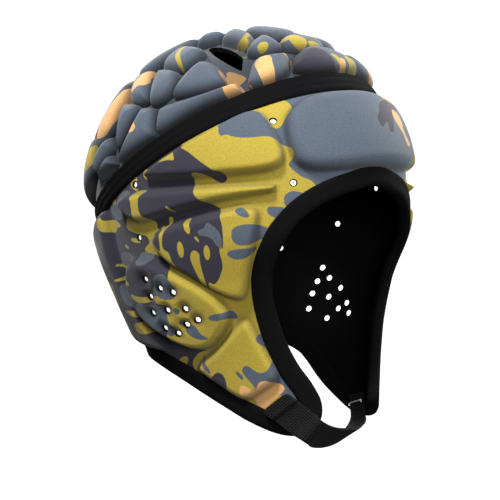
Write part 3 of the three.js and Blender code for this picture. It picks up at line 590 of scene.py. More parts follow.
# %% Print of the brow and the back
BROW_PRINT = [  # the same, each on one side only
    ("dark", [
        (-10, -41), (-6.8, -36), (-4, -32), (-3.8, -28.5), (-4.8, -26), (-7.5, -27.5), (-9.2, -29),
        (-9.2, -26), (-9, -23.2), (-11, -22.8), (-12.8, -24.5), (-15, -30), (-18, -35), (-28, -38),
        (-30, -45), (-20, -45)]),
    ("peach", [
        (-13, -52), (-17, -53), (-22, -50), (-26, -46), (-29, -41), (-24, -41.5), (-17, -44),
        (-14, -47.5)]),
    ("peach", [
        (-19, -37.3), (-22, -36), (-24, -33), (-24, -29), (-22.5, -25.5), (-23.5, -21), (-25.5, -17),
        (-23, -15.3), (-21.2, -17.8), (-20.5, -22.5), (-18.7, -26), (-17, -30), (-17, -34)]),
    ("mustard", [
        (126, 6), (131, 1), (138, 2), (144, 6), (150, 5), (157, 1), (164, 4), (167, 10), (162, 14),
        (155, 12), (149, 15), (143, 19), (137, 16), (132, 12), (127, 12)]),
    ("slate", [
        (130, 26), (137, 23), (146, 25), (152, 22), (158, 26), (156, 33), (150, 36), (147, 42), (140, 44),
        (134, 40), (129, 34)]),
    ("mustard", [
        (160, 30), (166, 27), (172, 30), (176, 36), (173, 42), (167, 41), (162, 46), (158, 43),
        (160, 37)]),
    ("mustard", [
        (128, 52), (133, 48), (139, 50), (143, 55), (150, 56), (156, 52), (160, 55), (157, 61), (150, 64),
        (144, 62), (138, 66), (132, 63)]),
    ("slate", [(162, 55), (168, 51), (175, 53), (179, 58), (176, 66), (169, 69), (163, 65)]),
    ("slate", [(126, 72), (131, 68), (138, 71), (143, 76), (141, 83), (134, 86), (128, 82)]),
    ("mustard", [
        (148, 74), (154, 70), (161, 73), (168, 74), (173, 78), (170, 84), (163, 86), (157, 83), (151, 84),
        (147, 80)]),
    ("slate", [(170, 8), (176, 5), (180, 8), (180, 18), (175, 20), (170, 15)]),
    ("slate", [
        (-127, 2), (-134, -2), (-142, 1), (-148, 7), (-155, 8), (-158, 14), (-152, 19), (-144, 17),
        (-138, 20), (-131, 15)]),
    ("mustard", [(-160, -2), (-167, -5), (-174, -1), (-176, 7), (-170, 11), (-164, 8), (-159, 5)]),
    ("mustard", [
        (-128, 30), (-133, 25), (-140, 27), (-145, 32), (-143, 38), (-148, 44), (-145, 50), (-138, 48),
        (-134, 42), (-129, 38)]),
    ("slate", [
        (-152, 28), (-159, 24), (-167, 27), (-173, 25), (-178, 30), (-174, 37), (-166, 38), (-161, 43),
        (-154, 40), (-150, 34)]),
    ("mustard", [
        (-155, 52), (-162, 48), (-169, 52), (-176, 51), (-178, 57), (-172, 62), (-165, 60), (-160, 65),
        (-154, 62)]),
    ("slate", [(-127, 58), (-134, 55), (-141, 59), (-148, 62), (-146, 69), (-139, 72), (-132, 68)]),
    ("mustard", [
        (-128, 80), (-135, 76), (-142, 79), (-150, 77), (-157, 80), (-155, 87), (-147, 89), (-139, 86),
        (-132, 88)]),
    ("slate", [(-162, 72), (-169, 69), (-176, 73), (-178, 80), (-171, 85), (-164, 82)]),
]


def mm_per_bearing(drop):
    """Length of a degree of bearing over the side of the form at a drop."""
    return np.radians(section(1, max(drop, 0))[0] * np.sin(np.radians(90 + min(drop, 0) / MM_PER_DEGREE)))


def print_surround(spots):
    """Marks of the surround: the shapes of both sides, then those of the brow, over mustard."""
    marks = blank_print(len(spots), "mustard")
    paint(marks, np.stack([np.abs(spots[:, 0]), spots[:, 1]], 1), SIDE_PRINT, mm_per_bearing)
    return paint(marks, spots, BROW_PRINT, mm_per_bearing)


print("shapes on the brow and the back:", len(BROW_PRINT))

# %% [markdown]
# ## Moulded foam pads
# The pads of the surround are one sheet of foam pressed in a mould, so the jersey runs over them without
# a seam. Separate cushions would leave gaps, and a cloth simulation would blow the grooves shut. One
# height over the form is truer: it rises from each outline in a quarter round with a small hollow at its
# foot.

# %% Heights of the surround
WALL = 3.0  # laminate between the lining and the jersey
SIDE_PADS = [  # name, corners as bearing and drop, bow of each side, height, width of the rounded edge
    ("temple_pad", [(93, -10.5), (46, -46), (37, -4), (92, -5.5)], [0, 1, 1, 0], 7.5, 4.5),
    ("temple_rib", [(110, 0.5), (42.5, 3.5), (43, 8.5), (97, 20.5)], [0, 0, -2, 3], 6.5, 4.5),
    ("cheek_pad", [(94, 26), (46.5, 13), (54.5, 71.5), (79, 51)], [0, -3, 3, 4], 7, 4.5),
    ("jaw_pad", [(56.5, 76), (91, 107), (67, 132), (45.5, 118.5)], [-4, 0, 0, -2], 5.5, 5),
    ("rear_pad", [(115, 5), (97, 98.5), (146, 85), (148, 27)], [-21, 1, 2, 2], 7, 6),
    ("ear_dome", [(104, 36), (61.5, 74), (80, 99), (117.5, 68.5)], [4, 3, 5, 5], 8, 5),
]
MIDDLE_PADS = [
    ("forehead_pad", [(-35, -45), (35, -45), (33, 0), (-33, 0)], [8, 4, -4, 4], 7.5, 8),
    ("nape_pad", [(153, 28.5), (207, 28.5), (206, 84), (154, 84)], [-3, 1, 0, 1], 7, 6),
]
CHART = np.array([MM_PER_DEGREE, 1.0])  # mm of the flat chart for each degree of bearing and mm of drop
PAD_SQUARENESS = 5
PAD_SIDES = 120
FOOT = 0.4  # mm over which the foot of a pad is hollowed
EAR_HOLES = [  # bearing and drop, of the wearer's right and then left ear
    (99.2, 51.2), (99.5, 61.8), (101.8, 71.2), (97.7, 81), (92.8, 57.6), (86.8, 60.8), (83, 70.8),
    (78.6, 77.9), (91, 85), (84.7, 80.1), (92.5, 70.6), (-100.5, 49.5), (-96.5, 56.5), (-102.5, 58),
    (-89.5, 63.5), (-104.5, 65.5), (-95.5, 68.5), (-83.5, 73.5), (-105.5, 75), (-88.5, 76.5), (-80.5, 80),
    (-94.5, 82),
]
GROOVE_HOLES = [
    (41, -35), (35.7, 3.8), (99.5, -4), (101, 28), (-41, -35), (-36, 4), (-99.5, -4), (-72, 3),
    (-94, 22.5), (-119.5, 34.5),
]
HOLE_RADIUS = 1.7
DIMPLE_DEPTH = 2.6
DIMPLE_RADIUS = 4.2
CREASE = 1.8  # mm to either side of a pad's foot over which its painted shade fades
# depth of the painted shade in the fold mark at a pad's foot
CREASE_SHADE = 0.6
LEFT_PART = (-30, 15)  # bearing and drop past which the wearer's left edge is near
LEFT_START = -3  # station where that edge begins to draw the pads flat
LEFT_STEPS = 150
LEFT_FLAT = 7  # mm beside it where they are flat
LEFT_FADE = 5  # mm over which they rise from there


def swell(depth, width):
    """Share of a pad's height at a depth inside its outline: a quarter round over the width, entered by a
    soft step of FOOT, which is FOOT times the logarithm of 1 plus e to the depth over FOOT."""
    soft = FOOT * np.logaddexp(0, depth / FOOT)
    return np.sqrt(1 - (1 - np.minimum(soft / width, 1))**2)


def relief(spots):
    """Height of the jersey over the laminate: the largest of the pads' heights, less the deepest dimple,
    which falls off from its ear hole as e to minus the square of the distance. Beside the wearer's left
    edge, which the strap draws tight, the pads are flat. Also the fold, a mark of painted shade, which is
    low at a pad's foot and in a dimple and nears 1 away from them by the same law."""
    even = np.stack([np.abs(spots[:, 0]), spots[:, 1]], 1)
    points = side_skin(even, WALL)
    height, fold = np.zeros(len(even)), np.ones(len(even))
    s, t = rounded_square(PAD_SIDES, PAD_SQUARENESS)
    for name, corners, bows, rise, width in SIDE_PADS + MIDDLE_PADS:
        outline = patch(np.array(corners) * CHART, np.array(bows), s, t) / CHART
        near = nearby(even * CHART, outline * CHART, FAR)
        depth = distance(points[near], side_skin(outline, WALL))
        depth[~inside(even[near], outline)] *= -1
        height[near] = np.maximum(height[near], rise * swell(depth, width))
        # painted shade in the fold mark, deepest at the pad's foot
        fold[near] = np.minimum(fold[near], 1 - CREASE_SHADE * np.exp(-(depth / CREASE)**2))
    points = side_skin(spots, WALL)
    left = np.flatnonzero((spots[:, 0] < LEFT_PART[0]) & (spots[:, 1] > LEFT_PART[1]))
    if len(left):
        left_edge = skin(*edge_at(np.linspace(-NAPE, LEFT_START, LEFT_STEPS))[:2], WALL)
        away = np.maximum(distance(points[left], left_edge) - LEFT_FLAT, 0)
        height[left] *= 1 - np.exp(-(away / LEFT_FADE)**2)
    dimple = np.zeros(len(even))
    for hole in EAR_HOLES:
        away = np.linalg.norm(points - side_skin(np.array(hole, float), WALL), axis=1)
        dimple = np.maximum(dimple, np.exp(-(away / DIMPLE_RADIUS)**2))
    # the fold mark also takes painted shade in each dimple
    return height - DIMPLE_DEPTH * dimple, np.minimum(fold, 1 - dimple)


# %% [markdown]
# ## The surround's skin and its air holes
# The skin is a grid from the rim down to the lower edge. A boolean would tear the print's even mesh, so
# each air hole is set into the grid instead: a small block of cells comes out, and rings of quads run
# from the block's border to a true circle.

# %% Surround skin
COLUMNS_PER_STATION = 12
SKIN_ROWS = 170
SKIN_ENDS = (0.01, 0.99)  # shares of the way from the rim to the edge, both under tape
HOLE_BLOCK = 3.4  # mm from a hole's centre to the border of its block
HOLE_RINGS = 3


def surround_spots(rows, per_station, top, bottom):
    """Bearing and drop over the surround: columns run from the rim to the lower edge, straight down at
    first and then swung to the edge's own bearing by the cube of the share of the way. top and bottom are
    that share's ends."""
    columns = 2 * NAPE * per_station
    station = np.arange(columns) / per_station - NAPE
    bearing, drop, rim = edge_at(station)
    share = np.linspace(top, bottom, rows)[:, None]
    high = rim_drop(rim)
    return np.stack([rim + (bearing - rim) * np.maximum(share, 0)**3, high + (drop - high) * share], -1)


def punch(spots, holes):
    """Takes a block of cells out of a grid round each hole and fills it with rings. Returns the spots,
    the faces and each hole's own ring of spots."""
    rows, columns = spots.shape[:2]
    keep = np.ones((rows - 1, columns), bool)
    flat = [spots.reshape(-1, 2)]
    faces = []
    circles = []
    count = rows * columns
    for hole in holes:
        size = np.array([mm_per_bearing(hole[1]), 1.0])
        off = (spots - hole) * size
        row, column = np.unravel_index((off**2).sum(-1).argmin(), (rows, columns))
        tall = int(np.ceil(HOLE_BLOCK / np.abs(off[row + 1, column] - off[row, column]).max()))
        wide = int(np.ceil(HOLE_BLOCK / np.abs(off[row, column + 1] - off[row, column]).max()))
        keep[row - tall:row + tall, column - wide:column + wide] = False
        across, down = np.arange(-wide, wide), np.arange(-tall, tall)
        ring_rows = np.concatenate([0 * across - tall, down, 0 * across + tall, -down]) + row
        ring_columns = np.concatenate([across, 0 * down + wide, -across, 0 * down - wide]) + column
        border = off[ring_rows, ring_columns]
        circle = border * HOLE_RADIUS / np.linalg.norm(border, axis=1, keepdims=True)
        shares = (np.arange(1, HOLE_RINGS + 1) / HOLE_RINGS)[:, None, None]
        rings = border + (circle - border) * shares
        sides = len(border)
        numbers = np.concatenate([ring_rows * columns + ring_columns, count + np.arange(HOLE_RINGS * sides)])
        faces.append(numbers[grid_faces(HOLE_RINGS + 1, sides, wrap=True)])
        flat.append((rings / size + hole).reshape(-1, 2))
        circles.append(circle / size + hole)
        count += HOLE_RINGS * sides
    faces.insert(0, grid_faces(rows, columns, wrap=True)[keep.ravel()])
    return np.concatenate(flat), np.concatenate(faces), circles


def drop_loose(faces, *arrays):
    """Leaves out the points that no face uses and renumbers the faces."""
    used, numbers = np.unique(faces, return_inverse=True)
    return numbers.reshape(faces.shape), *[array[used] for array in arrays]


holes = np.array(EAR_HOLES + GROOVE_HOLES, float)
spots, faces, circles = punch(surround_spots(SKIN_ROWS, COLUMNS_PER_STATION, *SKIN_ENDS), holes)
faces, spots = drop_loose(faces, spots)
height, fold = relief(spots)
# the fold mark carries the painted shade of the pads' feet and the dimples
outer = add_piece(
    "surround_jersey", side_skin(spots, WALL + height), faces, jersey,
    ["surround_shell", "forehead_pad", "nape_pad"]
    + [name + side for name, *rest in SIDE_PADS for side in ("_right", "_left")],
    spread=spots * CHART, marks={**print_surround(spots), "fold": fold},
)
print("surround quads:", len(faces), "air holes:", len(holes))

# %% [markdown]
# ## Inside the holes
# Each hole goes through the foam to the lining. A black ring of painted shade lies on the jersey round the
# rim and runs a little way down the hole, and the pale foam, with a painted glow, swells into the hole under
# the rim. Both are tubes made of the same circle at a row of sizes and lifts.

# %% Hole walls
BLACK = (0.0038, 0.0038, 0.0043)
FOAM_PAINTED_GLOW = 0.75  # painted glow, standing in for light that comes through the thin foam
foam, foam_shader = new_material("pale_foam", (0.95, 0.95, 0.93), 0.9)
# painted light: the foam glows as if lit through, though it is no lamp
foam_shader.inputs["Emission Color"].default_value = (1, 1, 1, 1)
foam_shader.inputs["Emission Strength"].default_value = FOAM_PAINTED_GLOW
# black for the vent walls, and for a ring of painted shade round each air hole's rim
dark_edge_and_rim_shade, dark_edge_and_rim_shade_shader = new_material("black_edge_and_rim_shade", BLACK, 0.9, specular=0.1)


def add_pores(material, shader, size, depth):
    """Roughens a surface by noise of a size in mm, as a bump of a depth in mm."""
    noise = add_node(material, "TexNoise")
    noise.inputs["Scale"].default_value = 1 / (size * MM)
    bump = add_node(material, "Bump")
    bump.inputs["Distance"].default_value = depth * MM
    link = material.node_tree.links.new
    link(add_node(material, "TexCoord").outputs["Object"], noise.inputs["Vector"])
    link(noise.outputs["Fac"], bump.inputs["Height"])
    link(bump.outputs["Normal"], shader.inputs["Normal"])


add_pores(foam, foam_shader, size=0.4, depth=0.1)
add_pores(dark_edge_and_rim_shade, dark_edge_and_rim_shade_shader, size=0.3, depth=0.08)
# the rim rows draw a black ring of painted shade: just over the jersey round each hole, then down its upper
# wall
RIM_SHADE_ROWS = [  # share of the hole's radius, mm under the jersey, mm over the lining or none
    (1.32, 0, None), (1.26, -0.12, None), (1.02, -0.12, None), (0.98, 0.6, None), (0.96, 1.2, None),
]
FOAM_ROWS = [
    (0.96, 1.2, None), (0.9, 1.35, None), (0.38, 1.5, None), (0.33, 2.2, None), (0.33, 0, 1.6),
    (0.9, 0, 0.8), (1, 0, 0),
]


def hole_walls(circles, rows):
    """Tubes through the wall: for each row, every circle drawn in or out to a share of its radius, at a
    depth under the jersey or a height over the lining."""
    points = []
    faces = []
    count = 0
    for circle in circles:
        middle = circle.mean(0)
        rings = np.stack([middle + (circle - middle) * share for share, under, over in rows])
        top = WALL + relief(rings.reshape(-1, 2))[0].reshape(rings.shape[:2])
        lift = np.stack([top[i] - under if over is None else 0 * top[i] + over
                         for i, (share, under, over) in enumerate(rows)])
        points.append(side_skin(rings, lift).reshape(-1, 3))
        faces.append(grid_faces(len(rows), len(circle), wrap=True) + count)
        count += len(rows) * len(circle)
    return np.concatenate(points), np.concatenate(faces)


# the painted shade round each hole
points, faces = hole_walls(circles, RIM_SHADE_ROWS)
add_piece("hole_rim_shade", points, faces, dark_edge_and_rim_shade)
points, faces = hole_walls(circles, FOAM_ROWS)
add_piece("hole_walls", points, faces, foam)
print("hole wall quads:", len(faces))

# %% [markdown]
# ## The lining
# Inside, a thin black knit lies against the head. A Solidify modifier on the skin would carry the pads'
# heights inside. So the lining is a coarser grid of the same kind without those heights, turned to face
# the head, with the same holes.

# %% Lining of the surround
lining, lining_shader = new_material("black_lining", (0.004, 0.004, 0.0045), 0.95, specular=0.05)
add_weave(lining, lining_shader, pitch=KNIT_PITCH, depth=0.1, bands=("X", "Y"))
LINING_ROWS = 90
LINING_ENDS = (-0.01, 0.99)  # shares of the way from the rim to the edge
spots, faces = punch(surround_spots(LINING_ROWS, COLUMNS_PER_STATION, *LINING_ENDS), holes)[:2]
faces, spots = drop_loose(faces, spots)
add_piece("surround_lining", side_skin(spots, 0), faces[:, ::-1], lining, spread=spots * CHART)
print("lining quads:", len(faces))

# %% [markdown]
# ## The print of the crown
# The crown is cut from a mostly slate stretch of the same cloth. Its chart is flat, in millimetres to the
# side and to the fore of the top, so the pods and the base under them can share one print and their
# colours meet at the seams.

# %% Print of the crown
CROWN_PRINT = [  # colour, then corners to the side and to the fore, the same on both sides
    ("peach", [
        (75.5, -30.5), (71.5, -32.3), (66.5, -31), (62, -27), (59, -21.5), (60.5, -16.5), (63.5, -17.5),
        (66.5, -20), (72, -18.7), (75, -20.5), (74.5, -25.5), (76.5, -28.8)]),
    ("peach", [(60, -42), (80, -44), (90, -50), (92, -58), (86, -66), (66, -70)]),
    ("peach", [
        (99.5, -20), (103.5, -16), (106.5, -13.5), (108.7, -15), (108.5, -19), (105.5, -22),
        (102, -21.5)]),
    ("peach", [
        (78.4, 46.5), (74.2, 42), (71.5, 41.8), (66.2, 46.7), (67, 52), (68.7, 54.5), (75.6, 54),
        (79.5, 52.5)]),
    ("peach", [
        (64.2, 31.5), (64.5, 36.3), (65.5, 40), (67.1, 42), (69.9, 41.7), (69, 38.5), (66.8, 34.4)]),
    ("peach", [
        (59.2, 33.9), (58, 47), (62, 48.5), (65.5, 47.5), (69, 44.5), (70, 42.5), (67, 41.5),
        (64.5, 37)]),
    ("peach", [
        (49.5, 48.8), (44, 49), (39.8, 50), (40, 54), (43.4, 58), (47.5, 63.5), (51.5, 66.5), (56.9, 64),
        (56.5, 59), (54.1, 54.5)]),
    ("peach", [(64, 55.5), (63.5, 58.5), (65.5, 61), (68, 59.5), (67.5, 56.5)]),
    ("mustard", [
        (31.5, 51.5), (27, 54), (22, 57.5), (19.5, 62), (20, 65), (24, 63), (27.5, 59), (30.5, 55)]),
    ("mustard", [
        (38, 23.5), (33, 26.5), (28, 27), (23, 24), (19, 23), (19, 21.5), (24, 22.3), (28.5, 25),
        (32.5, 24.8), (37, 22)]),
    ("mustard", oval(33.5, 29, 3.5, 3.5)),
    ("mustard", oval(41.5, 34, 1.2, 2.2)),
    ("mustard", oval(33, 42, 4, 2.5)),
    ("mustard", [(18, 33), (14, 37), (17, 41), (21, 38), (22, 34)]),
    ("mustard", [
        (40.5, -7.5), (46.5, -8.5), (52.5, -7.5), (58, -4.5), (64.5, 1), (65, 3.5), (60, 0.5), (55, -3),
        (51, -4.8), (46, -6), (41, -6)]),
]
TOP_PRINT = [  # the same, on one side only
    ("dark", [(21, 56), (10, 57), (2, 61), (1, 68), (2, 80), (18, 80), (34, 70)]),
    ("mustard", oval(8, 47, 6, 6)),
    ("mustard", oval(13, 42, 3.5, 3.5)),
    ("mustard", [(2, 50), (-6, 50), (-14, 52), (-14, 55), (-5, 54), (1, 54)]),
    ("mustard", [(-1, 66), (-4, 65.5), (-6, 68), (-6, 72), (-3.5, 73), (-2, 70)]),
    ("peach", [(-7, 69), (-11, 69.5), (-10, 75), (-6.5, 79), (-2, 79), (-4, 74)]),
    ("mustard", [(-14, 66), (-22, 65), (-28, 70), (-26, 76), (-19, 79), (-12, 78), (-15, 72)]),
    ("dark", [
        (14, -18), (24, -16), (30, -24), (40, -30), (42, -40), (34, -44), (28, -38), (18, -40), (10, -34),
        (8, -24)]),
    ("mustard", [
        (-10, -26), (-2, -22), (6, -28), (4, -38), (8, -48), (2, -56), (-8, -52), (-6, -42), (-14, -36)]),
    ("dark", [(-30, -20), (-22, -24), (-20, -34), (-28, -44), (-38, -46), (-46, -40), (-40, -30)]),
    ("mustard", [
        (30, -52), (40, -48), (50, -54), (48, -64), (54, -74), (48, -84), (38, -80), (40, -70), (30, -66),
        (24, -58)]),
    ("peach", [
        (12, -62), (20, -60), (24, -68), (20, -78), (24, -86), (16, -92), (8, -86), (10, -76), (6, -68)]),
    ("dark", [
        (-4, -66), (-14, -64), (-24, -70), (-22, -82), (-30, -90), (-24, -100), (-12, -98), (-8, -88),
        (0, -82)]),
    ("mustard", [
        (-36, -56), (-46, -60), (-52, -70), (-46, -80), (-50, -90), (-42, -96), (-34, -88), (-36, -76),
        (-30, -66)]),
    ("dark", [(56, -82), (66, -78), (78, -86), (80, -98), (70, -104), (64, -98), (54, -100), (50, -90)]),
    ("mustard", [(30, -100), (42, -98), (50, -108), (46, -120), (36, -126), (26, -120), (28, -110)]),
    ("peach", [
        (-54, -90), (-64, -88), (-70, -96), (-64, -106), (-68, -114), (-58, -118), (-50, -110),
        (-52, -100)]),
    ("dark", [
        (0, -104), (12, -106), (16, -116), (10, -128), (14, -138), (4, -144), (-6, -136), (-4, -124),
        (-8, -112)]),
    ("mustard", [
        (-20, -112), (-32, -108), (-42, -116), (-40, -128), (-30, -134), (-22, -128), (-24, -120)]),
    ("dark", [(-74, -74), (-86, -72), (-92, -80), (-84, -90), (-74, -88)]),
    ("mustard", [(84, -74), (94, -72), (96, -82), (88, -92), (80, -88)]),
]


def flat_chart(fore):
    """Scale of a chart that is in millimetres both ways: 1 everywhere."""
    return 1.0


def print_crown(spots):
    """Marks of the crown: the shapes of both sides, then the single ones, over slate."""
    marks = blank_print(len(spots), "slate")
    paint(marks, np.stack([np.abs(spots[:, 0]), spots[:, 1]], 1), CROWN_PRINT, flat_chart)
    return paint(marks, spots, TOP_PRINT, flat_chart)


print("shapes on the crown:", len(CROWN_PRINT) + len(TOP_PRINT))

# %% [markdown]
# ## The crown's base
# Under the crown's small pads lies the same laminate, open at two vents on each side. The base is a polar
# grid round the top. Cells that reach into a vent come out, and the points left at the border move onto
# the vent's outline, so the cut is clean without a boolean.

# %% Crown base and vents
VENTS = [  # corners to the side and to the fore of the top, and bows
    ([(31, 0), (43, 34), (55, 42), (36.5, 1.5)], [1, 0, 4, 0]),
    ([(93, -42.5), (116, -39.5), (117, -42.5), (94, -46)], [0, 0, 0, 0]),
]
BASE_PAINTED_SHADE = 0.15  # fold mark of the whole base, which paints shade on it, as it lies low between the pads
VENT_SIDES = 240
VENT_SQUARENESS = 14
CROWN_ROWS = 100
CROWN_COLUMNS = 420


def crown_spots(rows, columns):
    """Side and fore over the crown: columns run out from the top to the rim, in even steps of arc."""
    bearing = np.arange(columns) * 360 / columns
    reach = (rim_drop(bearing) + CROWN_ARC) * np.linspace(0, 1, rows)[1:, None]
    turn = np.radians(bearing)
    return np.stack([reach * np.sin(turn), reach * np.cos(turn)], -1)


def nearest_on(points, outline):
    """The nearest place on the sides of a closed outline to each point."""
    along = np.roll(outline, -1, 0) - outline
    share = np.clip(((points[:, None] - outline) * along).sum(2) / (along**2).sum(1), 0, 1)
    feet = outline + share[..., None] * along
    nearest = ((points[:, None] - feet)**2).sum(2).argmin(1)
    return feet[np.arange(len(points)), nearest]


def crown_cover(rows, columns):
    """Spots and faces of the crown's base with its vents cut out. The last spot is the top."""
    grid = crown_spots(rows, columns)
    spots = np.concatenate([grid.reshape(-1, 2), [[0, 0]]])
    quads = grid_faces(rows - 1, columns, wrap=True)
    for outline in vent_outlines:
        open_quads = inside(spots, outline)[quads].any(1)
        border = np.intersect1d(quads[open_quads], quads[~open_quads])
        spots[border] = nearest_on(spots[border], outline)
        quads = quads[~open_quads]
    around = np.arange(columns)
    top = np.stack([np.full(columns, len(spots) - 1), np.roll(around, -1), around], 1)
    return spots, quads, top


s, t = rounded_square(VENT_SIDES, VENT_SQUARENESS)
vent_outlines = [
    patch(corners, np.array(bows), s, t)[::side] * [side, 1]
    for corners, bows in VENTS for side in (1, -1)
]
spots, quads, top = crown_cover(CROWN_ROWS, CROWN_COLUMNS)
numbers, spots = drop_loose(np.concatenate([quads.ravel(), top.ravel()]), spots)
quads, top = numbers[:quads.size].reshape(-1, 4), numbers[quads.size:].reshape(-1, 3)
# the base's fold mark paints an even shade over all of it
add_piece(
    "crown_base", crown_skin(spots, WALL), [*quads, *top], jersey, ["crown_shell"],
    spread=spots, marks={**print_crown(spots), "fold": np.full(len(spots), BASE_PAINTED_SHADE)},
)
inner_faces = [*quads[:, ::-1], *top[:, ::-1]]
add_piece("crown_lining", crown_skin(spots, 0), inner_faces, lining, spread=spots)
print("crown base quads:", len(quads))

# %% [markdown]
# ## Inside the vents
# A vent is cut clean through. A dark strip from the jersey to the lining along each outline closes the
# wall there.

# %% Vent walls
VENT_LEVELS = 4


def vent_walls(outlines, lifts):
    """Strips along each outline at a row of lifts."""
    lift = np.array(lifts)[:, None]
    points = np.concatenate([crown_skin(outline, lift).reshape(-1, 3) for outline in outlines])
    size = len(lifts) * len(outlines[0])
    strip = grid_faces(len(lifts), len(outlines[0]), wrap=True)[:, ::-1]
    return points, np.concatenate([strip + size * i for i in range(len(outlines))])


points, faces = vent_walls(vent_outlines, np.linspace(WALL, 0, VENT_LEVELS))
add_piece("vent_walls", points, faces, dark_edge_and_rim_shade)
print("vents:", len(vent_outlines))

# %% [markdown]
# ## Crown pads
# The crown carries many small cushions, close together, each with a steep rounded side. They could be
# scattered by a rule, but on the real crown each has its own outline. So their corners are listed one by
# one on the flat chart, most of them for both sides at once.

# %% Places of the crown pads
SIDE_PODS = [  # name, corners to the side and to the fore, bow of each side
    ("rim_front", [(45, 44.5), (24.5, 54.5), (38, 66.5), (65, 55.5)], [0, 0, 2, 0]),
    ("rim_long", [(95, 1), (67, 47), (72, 54), (112, 4.5)], [-5, 0, 2, 1]),
    ("rim_side", [(92, -17), (95, -2.5), (114, -0.5), (120.5, -37.5)], [0, 0, 1, -2]),
    ("side_rear", [(81, -38), (89.5, -20.5), (97.5, -23), (110, -37.5)], [1, 0, 0, 1]),
    ("lens", [(86, 6.5), (58, 14.5), (70, 40.5), (83, 27)], [1, 2, 1, 1]),
    ("lobe_front", [(62, -16.5), (69, 3), (87.5, 2.5), (90, -10.5)], [1, 2, 1, 1]),
    ("lobe_rear", [(58.5, -22), (86.5, -14.5), (78, -34.5), (57, -38.5)], [0, 2, 1, 2]),
    ("upper_rear", [(36, -14), (46.5, 8.5), (65.5, 1.5), (58, -17.5)], [0, 1, 1, 2]),
    ("top_small", [(17, -10), (17, 2), (27, 3), (31, -9)], [1, 1, 1, 1]),
    ("top", [(11, 5), (20, 25), (36, 31.5), (29, 7)], [1, 1, 0, 1]),
    ("top_front", [(26, 28.5), (16, 31.5), (22, 47), (41, 38)], [1, 1, 2, 1]),
    ("back_side", [(59, -43), (91, -48), (94, -69), (65, -71)], [1, 1, 1, 1]),
    ("back_round", [(97, -49), (107.5, -46), (111, -70), (98, -73)], [1, 1, 1, 1]),
    ("back_rim", [(112, -46), (119.5, -42.5), (111, -76), (113.5, -69)], [0, 2, 0, 0]),
    ("back_upper", [(18, -14), (35, -18.5), (54, -41.5), (20, -58)], [1, 1, 1, 1]),
    ("back_mid", [(23, -61), (56, -45.5), (66, -97), (26, -107)], [0, 1, 1, 1]),
    ("back_low", [(70, -75), (102, -77), (72, -128), (29, -148)], [1, 4, 2, -4]),
]
CENTRE_PODS = [
    ("front", [(-19, 56), (19, 56), (32, 67.5), (-32, 67.5)], [3, 1, 6, 1]),
    ("front_upper", [(-13, 38), (13, 38), (18, 48), (-18, 48)], [2, 1, 4, 1]),
    ("top_centre", [(-8, 6), (8, 6), (12, 33), (-12, 33)], [2, 0, 2, 0]),
    ("back_centre_top", [(-14, -13), (14, -13), (16, -57), (-16, -57)], [2, 0, 1, 0]),
    ("back_centre", [(-18, -61), (18, -61), (21, -106), (-21, -106)], [1, 0, 1, 0]),
    ("back_nape", [(-22, -110), (22, -110), (23, -150), (-23, -150)], [1, 0, 2, 0]),
]
print("kinds of crown pads:", len(SIDE_PODS) + len(CENTRE_PODS))

# %% [markdown]
# ## The shape of a crown pad
# A cushion could be a subdivided box or a cloth that is blown up, but neither keeps to a drawn outline.
# Here each pad is its own closed piece: rings drawn in from the outline to its middle, raised by the
# distance to the outline, with a flat underside.

# %% Crown pads
POD_HEIGHT = 8.5
POD_ROUND = 8.0
POD_GROW = 1.7  # mm that the padding stands out past its seam
POD_CREASE = 3.3  # mm in from the outline over which painted shade, as from the next pod, fades out
POD_DOME = 0.14  # share of the height that rises slowly to the middle
POD_SEAT = 0.3  # mm that the outline lies under the base's jersey
POD_SQUARENESS = 5.5
POD_SIDES = 120
POD_RINGS = 22
RING_POWER = 1.3  # above 1, rings lie closer at the outline
POD_SUNK = 1.0  # mm that the underside lies within the base


def pod_rings(corners, bows, sizes):
    """Rings of a pod: the rounded square at each size, let out by POD_GROW, on the patch."""
    a, b, c, d = np.asarray(corners, float)
    long = (np.linalg.norm(b - a) + np.linalg.norm(c - d)) / 4
    wide = (np.linalg.norm(d - a) + np.linalg.norm(c - b)) / 4
    s, t = rounded_square(POD_SIDES, POD_SQUARENESS)
    sizes = np.asarray(sizes)[:, None]
    longer, wider = 1 + POD_GROW / long, 1 + POD_GROW / wide
    return patch(corners, np.array(bows), s * sizes * longer, t * sizes * wider)


def pod(corners, bows):
    """Points, faces, spots and fold of a pod: a quarter round in from the outline, then a slow rise to the
    middle. The fold is a mark of painted shade, darkest at the outline."""
    sizes = 1 - np.linspace(0, 1, POD_RINGS, endpoint=False)**RING_POWER
    rings = pod_rings(corners, bows, sizes)
    spots = np.concatenate([rings.reshape(-1, 2), rings[-1:].mean(1), rings[0], rings[-1:].mean(1)])
    depth = distance(crown_skin(spots, WALL), crown_skin(rings[0], WALL))
    middle = depth.max()
    edge = np.sqrt(1 - (1 - np.minimum(depth / min(POD_ROUND, middle), 1))**2)
    dome = np.sin(np.pi / 2 * depth / middle)
    lift = WALL - POD_SEAT + POD_HEIGHT * ((1 - POD_DOME) * edge + POD_DOME * dome)
    count = POD_RINGS * POD_SIDES
    lift[count + 1:] = WALL - POD_SUNK
    around = np.arange(POD_SIDES)
    after = (around + 1) % POD_SIDES
    under = count + 1
    quads = grid_faces(POD_RINGS, POD_SIDES, wrap=True)
    skirt = np.stack([under + around, under + after, after, around], 1)
    top = np.stack([count - POD_SIDES + around, count - POD_SIDES + after, np.full(POD_SIDES, count)], 1)
    base = np.stack([under + after, under + around, np.full(POD_SIDES, len(spots) - 1)], 1)
    faces = [*quads, *skirt, *top, *base]
    return crown_skin(spots, lift), faces, spots, 1 - np.exp(-(depth / POD_CREASE)**2)


